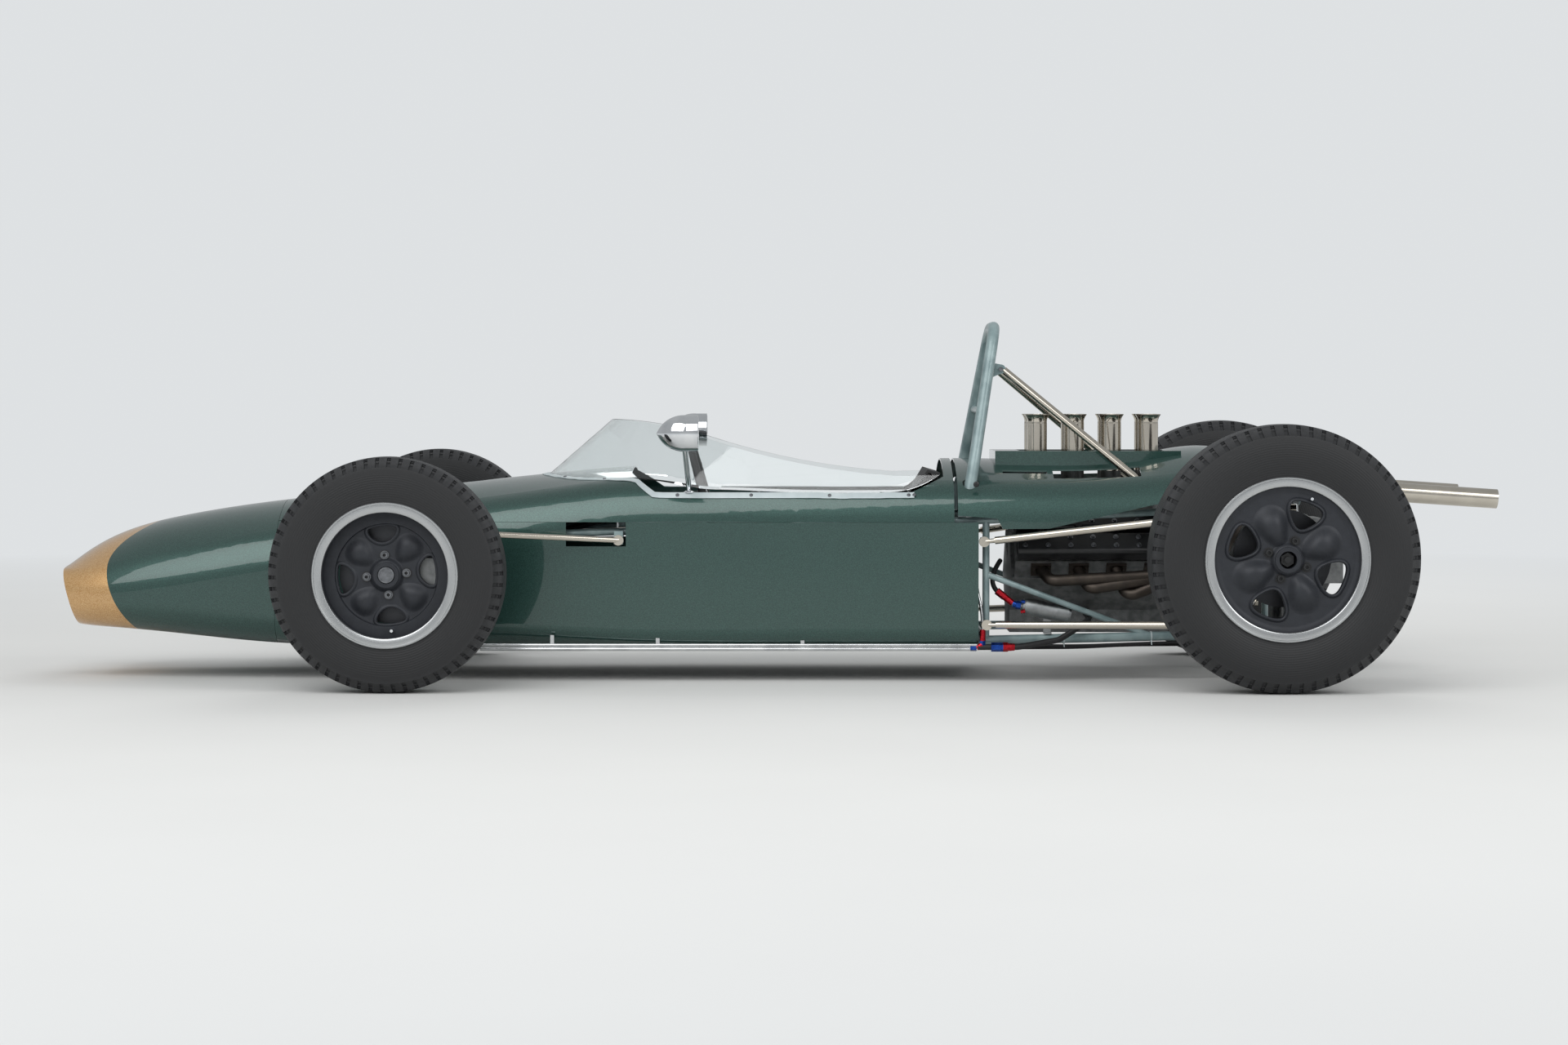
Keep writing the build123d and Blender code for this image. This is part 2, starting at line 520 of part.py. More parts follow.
with BuildPart() as rear_lower_wishbones:
    for hand in (-1, 1):
        reach = hand * (UPRIGHT_HALF + EYE_GAP + EYE_WIDTH / 2)
        outer = (REAR_AXLE + reach, UPRIGHT_FOOT[1], UPRIGHT_FOOT[2])
        rod(outer, REAR_LOWER_INNER, REAR_ROD_RADIUS)
        eye(outer, (1, 0, 0), 15.0, EYE_WIDTH)
    eye(REAR_LOWER_INNER, (1, 0, 0), 16.0, 34.0)
    foot = REAR_DAMPER_FOOT
    block((foot[0] - 10.0, foot[0] + 10.0), (foot[1] - 6.0, foot[1] + 6.0), (UPRIGHT_FOOT[2] - 6.0, foot[2] - 14.3))
    mirror(about=Plane.XZ)
rear_lower_wishbones.part.label = "rear_lower_wishbones"
export_step(rear_lower_wishbones.part, "parts/rear_lower_wishbones.step")

with BuildPart() as rear_radius_rods:
    for front, rise in ((UPPER_RADIUS_ROD_FRONT, REAR_UPPER_RISE), (LOWER_RADIUS_ROD_FRONT, -REAR_LOWER_DROP)):
        side_y = UPRIGHT_TOP[1] if rise > 0 else UPRIGHT_FOOT[1]
        if rise > 0:
            reach = TOP_BOSS_HALF + EYE_GAP + ROD_EYE_WIDTH / 2
        else:
            reach = UPRIGHT_HALF + EYE_WIDTH + 2 * EYE_GAP + ROD_EYE_WIDTH / 2
        back = (REAR_AXLE - reach, side_y, REAR_WHEEL_Z + rise)
        rod(front, along(front, back, 0.05), 6.0)
        rod(along(front, back, 0.04), back, REAR_ROD_RADIUS)
        eye(front, (0, 1, 0), 14.0, 14.0)
        eye(back, (1, 0, 0), 15.0, ROD_EYE_WIDTH)
    mirror(about=Plane.XZ)
rear_radius_rods.part.label = "rear_radius_rods"
export_step(rear_radius_rods.part, "parts/rear_radius_rods.step")

with BuildPart() as rear_spring_dampers:
    spring_damper(REAR_DAMPER_FOOT, REAR_DAMPER_TOP, 10.0, 30.0, 7)
    mirror(about=Plane.XZ)
rear_spring_dampers.part.label = "rear_spring_dampers"
export_step(rear_spring_dampers.part, "parts/rear_spring_dampers.step")

# ---------------------------------------------------------------- frame
RAIL_RADIUS = 12.5
TUBE_RADIUS = 10.0
LOWER_RAIL_Z = FLOOR_Z + SKIN + 1.0 + RAIL_RADIUS
UPPER_RAIL_Z = 402.0
RAIL_Y = 296.0
NOSE_RAIL_Y = 214.0
FRONT_BULKHEAD = FRONT_AXLE - 300.0
REAR_RAIL_Y = 232.0
BAY_RAIL_Z = 432.0

frame_front_low = (FRONT_BULKHEAD, -NOSE_RAIL_Y, LOWER_RAIL_Z + 8.0)
frame_front_high = (FRONT_BULKHEAD, -NOSE_RAIL_Y, UPPER_RAIL_Z - 30.0)
dash_low = (DASH, -RAIL_Y, LOWER_RAIL_Z)
dash_high = (DASH, -RAIL_Y, UPPER_RAIL_Z)
post_low = (BAY_POST, -RAIL_Y - 8.0, LOWER_RAIL_Z)
post_high = (BAY_POST, -RAIL_Y - 8.0, BAY_RAIL_Z)
rear_low = (REAR_FRAME, -REAR_RAIL_Y, LOWER_RAIL_Z + 14.0)
rear_high = (REAR_FRAME, -REAR_RAIL_Y, REAR_WHEEL_Z + 122.0)
axle_low = (FRONT_AXLE + 30.0, -262.0, LOWER_RAIL_Z + 2.0)
axle_high = (FRONT_AXLE + 30.0, -262.0, UPPER_RAIL_Z - 18.0)

RAIL_BEND = 220.0
JOINT_SWELL = 1.5
LOWER_RAIL = [frame_front_low, dash_low, post_low, rear_low]
UPPER_RAIL = [frame_front_high, dash_high, post_high, rear_high]
STRUT_RADIUS = 9.5
# columns: start, end, radius
CORNER_STRUTS = [
    (frame_front_low, frame_front_high, STRUT_RADIUS),
    (dash_low, dash_high, STRUT_RADIUS),
    (post_low, post_high, STRUT_RADIUS),
    (rear_low, rear_high, STRUT_RADIUS),
]
FRAME_STRUTS = [
    *CORNER_STRUTS,
    (along(post_low, post_high, 0.55), along(post_low, rear_low, 0.55), 8.0),
]
# columns: corner of the side frame, radius of the cross tube, radius of the joint that it meets
CROSS_TUBES = [
    (frame_front_low, 9.0, RAIL_RADIUS + JOINT_SWELL), (frame_front_high, 9.0, TUBE_RADIUS + JOINT_SWELL),
    (post_low, 11.0, RAIL_RADIUS + 1.0), (rear_low, 9.0, RAIL_RADIUS + JOINT_SWELL),
    (rear_high, 9.0, TUBE_RADIUS + JOINT_SWELL),
]

RADIATOR_X = (FRONT_AXLE - 640.0, FRONT_AXLE - 596.0)


def nose_share(x):
    """How far x lies from the front bulkhead to the dashboard, as a share."""
    return (x - FRONT_BULKHEAD) / (DASH - FRONT_BULKHEAD)


with BuildPart() as frame_tubes:
    bent_tube(LOWER_RAIL, [RAIL_BEND, RAIL_BEND], RAIL_RADIUS)
    bent_tube(UPPER_RAIL, [RAIL_BEND, RAIL_BEND], TUBE_RADIUS)
    with Locations(LOWER_RAIL[0], LOWER_RAIL[-1]):
        Sphere(RAIL_RADIUS + JOINT_SWELL)
    with Locations(UPPER_RAIL[0], UPPER_RAIL[-1]):
        Sphere(TUBE_RADIUS + JOINT_SWELL)
    for start, end_point, radius in FRAME_STRUTS:
        rod(start, end_point, radius)
    rail_at_link = along(frame_front_high, dash_high, nose_share(TOP_LINK_INNER[0]))
    clevis(TOP_LINK_INNER, (TOP_LINK_INNER[0], rail_at_link[1], rail_at_link[2]), (1, 0, 0), 18.0)
    rail_at_damper = along(frame_front_high, dash_high, nose_share(FRONT_DAMPER_TOP[0]))
    clevis(FRONT_DAMPER_TOP, (FRONT_DAMPER_TOP[0], rail_at_damper[1], rail_at_damper[2]), (1, 0, 0), DAMPER_EYE)
    for leg in (LOWER_LEG_FRONT, LOWER_LEG_REAR):
        rail = along(frame_front_low, dash_low, nose_share(leg[0]))
        clevis(leg, (leg[0], rail[1], rail[2]), (1, 0, 0), 34.0)
    block((FRONT_ROD_END[0] - 12.0, FRONT_ROD_END[0] + 12.0), (FRONT_ROD_END[1] + 7.3, -RAIL_Y + 4.0),
          (FRONT_ROD_END[2] - 12.0, UPPER_RAIL_Z + 2.0))
    for front in (UPPER_RADIUS_ROD_FRONT, LOWER_RADIUS_ROD_FRONT):
        block((front[0] - 9.0, BAY_POST + 4.0), (front[1] + 7.3, post_low[1]), (front[2] - 10.0, front[2] + 10.0))
    rail_at_top = along(post_high, rear_high, (REAR_TOP_INNER[0] - BAY_POST) / (REAR_FRAME - BAY_POST))
    clevis(REAR_TOP_INNER, (REAR_TOP_INNER[0], rail_at_top[1], rail_at_top[2]), (1, 0, 0), 20.0)
    clevis(REAR_DAMPER_TOP, (REAR_DAMPER_TOP[0], rear_high[1], rear_high[2]), (1, 0, 0), DAMPER_EYE)
    rod(frame_front_low, (RADIATOR_X[1] + 6.0, -150.0, 160.0), 8.0)
    block((RADIATOR_X[1] + 0.3, RADIATOR_X[1] + 10.0), (-162.0, -138.0), (148.0, 172.0))
    mirror(about=Plane.XZ)
frame_tubes.part.label = "frame_tubes"
export_step(frame_tubes.part, "parts/frame_tubes.step")

rail_at_axle = along(post_low, rear_low, (REAR_AXLE - BAY_POST) / (REAR_FRAME - BAY_POST))
AXLE_TUBE = (rail_at_axle, 9.0, RAIL_RADIUS + 1.0)
with BuildPart() as frame_cross_tubes:
    clevis(REAR_LOWER_INNER, (REAR_AXLE, REAR_LOWER_INNER[1], rail_at_axle[2]), (1, 0, 0), 34.0)
    mirror(about=Plane.XZ)
    for side in SIDES.values():
        ear_y = sorted((side * 68.0, side * 92.0))
        block((REAR_AXLE - 22.3, REAR_AXLE + 22.3), ear_y, (rail_at_axle[2] - 8.0, rail_at_axle[2] + 6.0))
    for corner_point, radius, joint_radius in [*CROSS_TUBES, AXLE_TUBE]:
        x, y, z = corner_point
        rod((x, y, z), (x, -y, z), radius)
        for end_y in (y, -y):
            rod((x - 40.0, end_y, z), (x + 40.0, end_y, z), joint_radius + SEAT_GAP, Mode.SUBTRACT)
    for (low_x, low_y, low_z), (high_x, high_y, high_z), radius in CORNER_STRUTS:
        for side in SIDES.values():
            rod((low_x, side * low_y, low_z), (high_x, side * high_y, high_z), radius + SEAT_GAP, Mode.SUBTRACT)
frame_cross_tubes.part.label = "frame_cross_tubes"
export_step(frame_cross_tubes.part, "parts/frame_cross_tubes.step")

HOOP_RADIUS = 16.0
HOOP_Y = 300.0
HOOP_TOP = (FRONT_AXLE + 1600.0, 970.0)
HOOP_SHOULDER_Y = 118.0
hoop_lean = (HOOP_TOP[0] - HOOP_FOOT) / (HOOP_TOP[1] - BAY_RAIL_Z)


def hoop_point(y, z):
    """A point on the leaning plane of the roll hoop."""
    return (HOOP_FOOT + hoop_lean * (z - BAY_RAIL_Z), y, z)


HOOP_BAR_Z = 728.0
HOOP_BAR_RADIUS = 10.0
hoop_share = (HOOP_FOOT + 24.0 - DASH) / (BAY_POST - DASH)
hoop_seat = along(dash_high, post_high, hoop_share)[2] + TUBE_RADIUS + SEAT_GAP
with BuildPart() as roll_hoop:
    hoop_crown = HOOP_TOP[1] - HOOP_RADIUS
    bent_tube(
        [
            hoop_point(-HOOP_Y, hoop_seat + 4.0), hoop_point(-HOOP_Y + 20.0, 600.0),
            hoop_point(-HOOP_SHOULDER_Y, hoop_crown), hoop_point(HOOP_SHOULDER_Y, hoop_crown),
            hoop_point(HOOP_Y - 20.0, 600.0), hoop_point(HOOP_Y, hoop_seat + 4.0),
        ],
        [150.0, 95.0, 95.0, 150.0], HOOP_RADIUS,
    )
    rod(hoop_point(-225.0, HOOP_BAR_Z), hoop_point(225.0, HOOP_BAR_Z), HOOP_BAR_RADIUS)
    for side in SIDES.values():
        foot_y = sorted((side * (HOOP_Y - 20.0), side * (HOOP_Y + 16.0)))
        block((HOOP_FOOT - 18.0, HOOP_FOOT + 24.0), foot_y, (hoop_seat, hoop_seat + 8.0))
roll_hoop.part.label = "roll_hoop"
export_step(roll_hoop.part, "parts/roll_hoop.step")

STAY_TOP = (FRONT_AXLE + 1622.0, -128.0, 836.0)
STAY_FOOT = (FRONT_AXLE + 2060.0, -258.0, 472.0)
STAY_RADIUS = 10.5
with BuildPart() as roll_hoop_stays:
    rod(STAY_TOP, STAY_FOOT, STAY_RADIUS)
    mirror(about=Plane.XZ)
roll_hoop_stays.part.label = "roll_hoop_stays"
export_step(roll_hoop_stays.part, "parts/roll_hoop_stays.step")

# ---------------------------------------------------------------- bodywork
body_outer = body_form()
body_inner = body_form(SKIN)
with BuildPart() as body_skin:
    add(body_outer)
    add(body_inner, mode=Mode.SUBTRACT)
FAR = 3000.0
REAR_SIDES = (-600.0, 600.0)
HOLE_CLEARANCE = 7.0
ROD_WINDOW_X = (FRONT_AXLE + 438.0, FRONT_AXLE + 599.0)
ROD_WINDOW_Z = 363.0
PLINTH_X = (FRONT_AXLE + 1598.0, FRONT_AXLE + 2105.0)
PLINTH_HALF = 146.0
PLINTH_TOP = 616.0
TRUMPET_WELL_HALF = 96.0


def cut_suspension_holes():
    """Holes in the skin round each arm, tie rod and damper that passes through it."""
    for side in SIDES.values():
        flip = (1, -side, 1)
        passing = [
            (UPPER_BALL, TOP_LINK_INNER, ROD_RADIUS), (LOWER_BALL, LOWER_LEG_FRONT, ROD_RADIUS + 2.0),
            (LOWER_BALL, LOWER_LEG_REAR, ROD_RADIUS + 2.0),
            ((RACK_X, -KINGPIN_Y, TIE_ROD_Z), (RACK_X, -RACK_HOUSING_HALF, TIE_ROD_Z), TIE_ROD_RADIUS),
            (along(FRONT_DAMPER_FOOT, FRONT_DAMPER_TOP, 0.7), along(FRONT_DAMPER_FOOT, FRONT_DAMPER_TOP, 1.03), 35.0),
        ]
        for start, end_point, radius in passing:
            a = tuple(value * sign for value, sign in zip(start, flip))
            b = tuple(value * sign for value, sign in zip(end_point, flip))
            rod(a, b, radius + HOLE_CLEARANCE, Mode.SUBTRACT)

with BuildPart() as nose_cone:
    add(body_skin.part)
    block((-FAR, NOSE_SEAM - PANEL_GAP), REAR_SIDES, (0, 1000), Mode.INTERSECT)
nose_cone.part.label = "nose_cone"
export_step(nose_cone.part, "parts/nose_cone.step")

COCKPIT_LINE = 506.0
COCKPIT_REAR = FRONT_AXLE + 1452.0
with BuildPart() as cockpit_cowl:
    add(body_skin.part)
    block((NOSE_SEAM, COWL_REAR), REAR_SIDES, (SEAM_Z, 1000), Mode.INTERSECT)
    with BuildSketch(Plane.XZ) as opening:
        with BuildLine():
            Polyline(
                (DASH, 700), (DASH, 556), (DASH + 70, COCKPIT_LINE), (COCKPIT_REAR - 90, COCKPIT_LINE),
                (COCKPIT_REAR, 548), (COCKPIT_REAR, 700), close=True,
            )
        make_face()
    extrude(opening.sketch, amount=600, both=True, mode=Mode.SUBTRACT)
    cut_suspension_holes()
cockpit_cowl.part.label = "cockpit_cowl"
export_step(cockpit_cowl.part, "parts/cockpit_cowl.step")

with BuildPart() as side_panels:
    add(body_skin.part)
    block((NOSE_SEAM, PANEL_REAR), REAR_SIDES, (0, SEAM_Z - PANEL_GAP), Mode.INTERSECT)
    block((NOSE_SEAM - 1, PANEL_REAR + 1), (-FLOOR_HALF_WIDTH - PANEL_GAP, FLOOR_HALF_WIDTH + PANEL_GAP),
          (0, FLOOR_Z + 60.0), Mode.SUBTRACT)
    cut_suspension_holes()
    block(ROD_WINDOW_X, REAR_SIDES, (ROD_WINDOW_Z, SEAM_Z), Mode.SUBTRACT)
side_panels.part.label = "side_panels"
export_step(side_panels.part, "parts/side_panels.step")

with BuildPart() as floor_tray:
    add(body_skin.part)
    block((NOSE_SEAM, PANEL_REAR), (-FLOOR_HALF_WIDTH, FLOOR_HALF_WIDTH), (0, FLOOR_Z + 60.0), Mode.INTERSECT)
floor_tray.part.label = "floor_tray"
export_step(floor_tray.part, "parts/floor_tray.step")

COVER_BRACKETS = (FRONT_AXLE + 1650.0, FRONT_AXLE + 1780.0)
with BuildPart() as cover_brackets:
    for x in COVER_BRACKETS:
        rail_y = along(post_high, rear_high, (x - 12.0 - BAY_POST) / (REAR_FRAME - BAY_POST))[1]
        block((x - 12.0, x + 12.0), (-500.0, rail_y - TUBE_RADIUS - SEAT_GAP), (BAY_RAIL_Z - 3.0, BAY_RAIL_Z + 3.0))
    mirror(about=Plane.XZ)
    add(body_outer, mode=Mode.INTERSECT)

with BuildPart() as engine_cover:
    add(body_skin.part)
    with BuildSketch(Plane.XZ) as cover_side:
        with BuildLine():
            Polyline(
                (COVER_FRONT, 1000), (COVER_FRONT, 446), (COVER_FRONT + 105, 438), (COVER_FRONT + 120, 410),
                (COVER_FRONT + 245, 411), (COVER_FRONT + 300, 424), (REAR_AXLE - 280, 478), (COVER_REAR, 520),
                (COVER_REAR, 1000), close=True,
            )
        make_face()
    extrude(cover_side.sketch, amount=600, both=True, mode=Mode.INTERSECT)
    block(PLINTH_X, (-PLINTH_HALF, PLINTH_HALF), (570.0, PLINTH_TOP))
    block((PLINTH_X[0] + SKIN, PLINTH_X[1] - SKIN), (SKIN - PLINTH_HALF, PLINTH_HALF - SKIN),
          (500.0, PLINTH_TOP - SKIN), Mode.SUBTRACT)
    block((PLINTH_X[0] + 70.0, PLINTH_X[1] - 40.0), (-TRUMPET_WELL_HALF, TRUMPET_WELL_HALF),
          (500.0, 700.0), Mode.SUBTRACT)
    add(cover_brackets.part)
    for side in SIDES.values():
        leg = (hoop_point(side * HOOP_Y, BAY_RAIL_Z), hoop_point(side * (HOOP_Y - 20.0), 600.0))
        rod(*leg, HOOP_RADIUS + 6.0, Mode.SUBTRACT)
        for slot in ((1614.0, 1735.0, 200.0, 226.0), (1750.0, 1986.0, 190.0, 262.0)):
            slot_y = sorted((side * slot[2], side * slot[3]))
            block((FRONT_AXLE + slot[0], FRONT_AXLE + slot[1]), slot_y, (500.0, 640.0), Mode.SUBTRACT)
engine_cover.part.label = "engine_cover"
export_step(engine_cover.part, "parts/engine_cover.step")

# ---------------------------------------------------------------- cockpit
def screen_form(inset=0.0):
    """The wraparound screen's cone, closed at the back, between a low and a high outline."""
    outlines = []
    for height in (470.0, 730.0):
        tip = SCREEN_FOOT + (height - 552.0) * 173.0 / 150.0 + inset
        half = 318.0 - 0.55 * (height - 510.0) - inset
        square = tip + 512.0
        back = FRONT_AXLE + 1450.0 + inset
        with BuildSketch(Plane.XY.offset(height)) as outline:
            with BuildLine():
                EllipticalCenterArc((square, 0), 512.0, half, start_angle=90.0, arc_size=180.0)
                Polyline((square, -half), (back, -half), (back, half), (square, half))
            make_face()
        outlines.append(outline.sketch)
    with BuildPart() as form:
        loft(outlines)
    return form.part


SCREEN_THICKNESS = 3.0
with BuildPart() as windscreen:
    add(screen_form())
    add(screen_form(SCREEN_THICKNESS), mode=Mode.SUBTRACT)
    with BuildSketch(Plane.XZ) as screen_side:
        with BuildLine():
            Line((FRONT_AXLE + 200, 440), (FRONT_AXLE + 1280, 440))
            Line((FRONT_AXLE + 1280, 440), (FRONT_AXLE + 1280, 508))
            ThreePointArc((FRONT_AXLE + 1280, 508), (FRONT_AXLE + 1385, 524), (FRONT_AXLE + 1440, 554))
            Line((FRONT_AXLE + 1440, 554), (FRONT_AXLE + 1328, 552))
            ThreePointArc((FRONT_AXLE + 1328, 552), (FRONT_AXLE + 1044, 590), (FRONT_AXLE + 817, 650))
            ThreePointArc((FRONT_AXLE + 817, 650), (FRONT_AXLE + 700, 683), (FRONT_AXLE + 546, 702))
            Polyline((FRONT_AXLE + 546, 702), (FRONT_AXLE + 200, 702), (FRONT_AXLE + 200, 440))
        make_face()
    extrude(screen_side.sketch, amount=600, both=True, mode=Mode.INTERSECT)
    add(body_outer, mode=Mode.SUBTRACT)
windscreen.part.label = "windscreen"
export_step(windscreen.part, "parts/windscreen.step")

with BuildPart() as dashboard:
    add(body_inner)
    block((DASH - 34.0, DASH - 30.0), REAR_SIDES, (UPPER_RAIL_Z + 12.0, 700.0), Mode.INTERSECT)
    rod(COLUMN_FOOT, STEERING_WHEEL_CENTRE, COLUMN_RADIUS + RACK_CLEARANCE, Mode.SUBTRACT)
dashboard.part.label = "dashboard"
export_step(dashboard.part, "parts/dashboard.step")

SEAT_HALF = 205.0
SEAT_BASE = FLOOR_Z + SKIN + SEAT_GAP
with BuildPart() as seat:
    with BuildSketch(Plane.XZ) as seat_side:
        with BuildLine():
            Polyline(
                (FRONT_AXLE + 1452, 560), (FRONT_AXLE + 1205, SEAT_BASE), (FRONT_AXLE + 905, SEAT_BASE),
                (FRONT_AXLE + 905, SEAT_BASE + 46), (FRONT_AXLE + 1180, 185), (FRONT_AXLE + 1412, 572), close=True,
            )
        make_face()
        fillet(seat_side.vertices(), radius=12.0)
    extrude(seat_side.sketch, amount=SEAT_HALF, both=True)
seat.part.label = "seat"
export_step(seat.part, "parts/seat.step")

with BuildPart() as gear_lever:
    lever_foot = (FRONT_AXLE + 930.0, 276.0, UPPER_RAIL_Z)
    lever_share = (lever_foot[0] - DASH) / (BAY_POST - DASH)
    rail_side = -along(dash_high, post_high, lever_share)[1] - TUBE_RADIUS - 0.3
    rail_z = along(dash_high, post_high, lever_share)[2]
    block((lever_foot[0] - 15.0, lever_foot[0] + 15.0), (266.0, rail_side), (rail_z - 14.0, rail_z + 14.0))
    rod(lever_foot, (lever_foot[0] + 10.0, 262.0, 474.0), 5.0)
    with Locations((lever_foot[0] + 10.0, 262.0, 482.0)):
        Sphere(16.0)
gear_lever.part.label = "gear_lever"
export_step(gear_lever.part, "parts/gear_lever.step")

MIRROR_Y = 460.0
MIRROR_Z = 667.0
MIRROR_BACK = FRONT_AXLE + 796.0
MIRROR_RADIUS = 48.0
with BuildPart() as mirrors:
    with BuildSketch(Plane.XZ) as bullet:
        with BuildLine():
            Line((0, 0), (0, MIRROR_RADIUS))
            Line((0, MIRROR_RADIUS), (-30, MIRROR_RADIUS))
            ThreePointArc((-30, MIRROR_RADIUS), (-88, 30), (-110, 0))
            Line((-110, 0), (0, 0))
        make_face()
    revolve(bullet.sketch.moved(Location((MIRROR_BACK, -MIRROR_Y, MIRROR_Z))),
            axis=Axis((MIRROR_BACK, -MIRROR_Y, MIRROR_Z), (1, 0, 0)))
    stalk = ((MIRROR_BACK - 36, -MIRROR_Y, MIRROR_Z - 30), (MIRROR_BACK - 28, -314.0, 512.0))
    rod(stalk[0], along(*stalk, 1.2), 7.0)
    add(body_outer, mode=Mode.SUBTRACT)
    mirror(about=Plane.XZ)
mirrors.part.label = "mirrors"
export_step(mirrors.part, "parts/mirrors.step")

# ---------------------------------------------------------------- engine and transmission
CRANK_Z = 190.0
ENGINE_X = (FRONT_AXLE + 1640.0, FRONT_AXLE + 2076.0)
CYLINDER_X = FRONT_AXLE + 1718.0
CYLINDER_PITCH = 102.0
TRUMPET_Y = 50.0
HEAD_HALF = 80.0
TRUMPET_RADIUS = 28.0
TRUMPET_TOP = 716.0
TRUMPET_FOOT = 560.3


def bank_point(out, across):
    """A point on the left cylinder bank: out along the bore, across towards the outside, as (y, z)."""
    slant = sin(radians(45.0))
    return (-(out + across) * slant, CRANK_Z + (out - across) * slant)


def bank_block(out, across, ends, mode=Mode.ADD):
    """A slab on the left bank, given by its ranges along and across the bore."""
    corners = [bank_point(out[0], across[0]), bank_point(out[1], across[0]),
               bank_point(out[1], across[1]), bank_point(out[0], across[1])]
    with BuildSketch(cross_plane(ends[0])) as slab:
        with BuildLine():
            Polyline(*corners, close=True)
        make_face()
    extrude(slab.sketch, amount=ends[1] - ends[0], mode=mode)


with BuildPart() as engine_block:
    block(ENGINE_X, (-110.0, 110.0), (118.0, CRANK_Z + 40.0))
    bank_block((0.0, 200.0), (-85.0, 85.0), ENGINE_X)
    bank_block((200.0, 262.0), (-HEAD_HALF, HEAD_HALF), (ENGINE_X[0] + 8.0, ENGINE_X[1] - 8.0))
    mirror(about=Plane.XZ)
    for row in range(4):
        for side in SIDES.values():
            x = CYLINDER_X + row * CYLINDER_PITCH
            y = side * TRUMPET_Y
            rod((x, y, CRANK_Z + 150.0), (x, y, TRUMPET_FOOT - SEAT_GAP), TRUMPET_RADIUS)
engine_block.part.label = "engine_block"
export_step(engine_block.part, "parts/engine_block.step")

with BuildPart() as cam_covers:
    bank_block((262.3, 305.0), (8.0, 82.0), (ENGINE_X[0] + 14.0, ENGINE_X[1] - 14.0))
    bank_block((262.3, 305.0), (-82.0, -8.0), (ENGINE_X[0] + 14.0, ENGINE_X[1] - 14.0))
    fillet(cam_covers.edges().filter_by(Axis.X), radius=12.0)
    mirror(about=Plane.XZ)
cam_covers.part.label = "cam_covers"
export_step(cam_covers.part, "parts/cam_covers.step")

TRUMPET_WALL = 2.0
TRUMPET_FLARE = 7.0
TRUMPET_NECK = TRUMPET_TOP - 26.0
with BuildPart() as trumpet:
    with BuildSketch(Plane.XZ) as stack:
        with BuildLine():
            Polyline((TRUMPET_RADIUS - TRUMPET_WALL, TRUMPET_FOOT), (TRUMPET_RADIUS, TRUMPET_FOOT),
                     (TRUMPET_RADIUS, TRUMPET_NECK))
            ThreePointArc((TRUMPET_RADIUS, TRUMPET_NECK), (TRUMPET_RADIUS + 2, TRUMPET_TOP - 10),
                          (TRUMPET_RADIUS + TRUMPET_FLARE, TRUMPET_TOP - 2))
            Polyline((TRUMPET_RADIUS + TRUMPET_FLARE, TRUMPET_TOP - 2), (TRUMPET_RADIUS + TRUMPET_FLARE, TRUMPET_TOP),
                     (TRUMPET_RADIUS + 4, TRUMPET_TOP))
            ThreePointArc((TRUMPET_RADIUS + 4, TRUMPET_TOP), (TRUMPET_RADIUS, TRUMPET_TOP - 10),
                          (TRUMPET_RADIUS - TRUMPET_WALL, TRUMPET_NECK))
            Line((TRUMPET_RADIUS - TRUMPET_WALL, TRUMPET_NECK), (TRUMPET_RADIUS - TRUMPET_WALL, TRUMPET_FOOT))
        make_face()
    revolve(axis=Axis.Z)

with BuildPart() as inlet_trumpets:
    for row in range(4):
        for side in SIDES.values():
            add(trumpet.part.moved(Location((CYLINDER_X + row * CYLINDER_PITCH, side * TRUMPET_Y, 0))))
inlet_trumpets.part.label = "inlet_trumpets"
export_step(inlet_trumpets.part, "parts/inlet_trumpets.step")

PRIMARY_RADIUS = 16.0
PORT_OUT = 233.0                     # along the bore to the exhaust ports
FLANGE_HALF = 21.0
TAILPIPE_RADIUS = 26.0
TAIL_END = (REAR_AXLE + REAR_OVERHANG, -282.0, 489.0)
TAIL_KNEE = (REAR_AXLE - 26.0, -290.0, 533.0)
TAIL_BORE_DEPTH = 60.0
COLLECTOR = (FRONT_AXLE + 2096.0, -290.0, 286.0)
with BuildPart() as exhausts:
    for row in range(4):
        x = CYLINDER_X + row * CYLINDER_PITCH
        bank_block((PORT_OUT - FLANGE_HALF, PORT_OUT + FLANGE_HALF), (HEAD_HALF + SEAT_GAP, HEAD_HALF + 8.0),
                   (x - FLANGE_HALF - 6.0, x + FLANGE_HALF + 6.0))
        port = (x, *bank_point(PORT_OUT, HEAD_HALF + 6.0))
        if row < 3:
            drop = (x + 24.0, -286.0, 268.0 - 22.0 * row)
            bent_tube([port, drop, COLLECTOR], [28.0], PRIMARY_RADIUS)
        else:
            rod(port, along(port, COLLECTOR, 0.8), PRIMARY_RADIUS)
    bank_block((PORT_OUT - 2 * FLANGE_HALF, PORT_OUT + 2 * FLANGE_HALF), (0.0, HEAD_HALF + SEAT_GAP), ENGINE_X,
               Mode.SUBTRACT)
    bent_tube(
        [COLLECTOR, (REAR_AXLE - 145.0, -292.0, 296.0), TAIL_KNEE, TAIL_END],
        [60.0, 90.0], TAILPIPE_RADIUS,
    )
    tail_run = Vector(*TAIL_END) - Vector(*TAIL_KNEE)
    rod(Vector(*TAIL_END) - tail_run.normalized() * TAIL_BORE_DEPTH, TAIL_END, TAILPIPE_RADIUS - 3.0, Mode.SUBTRACT)
    mirror(about=Plane.XZ)
exhausts.part.label = "exhausts"
export_step(exhausts.part, "parts/exhausts.step")

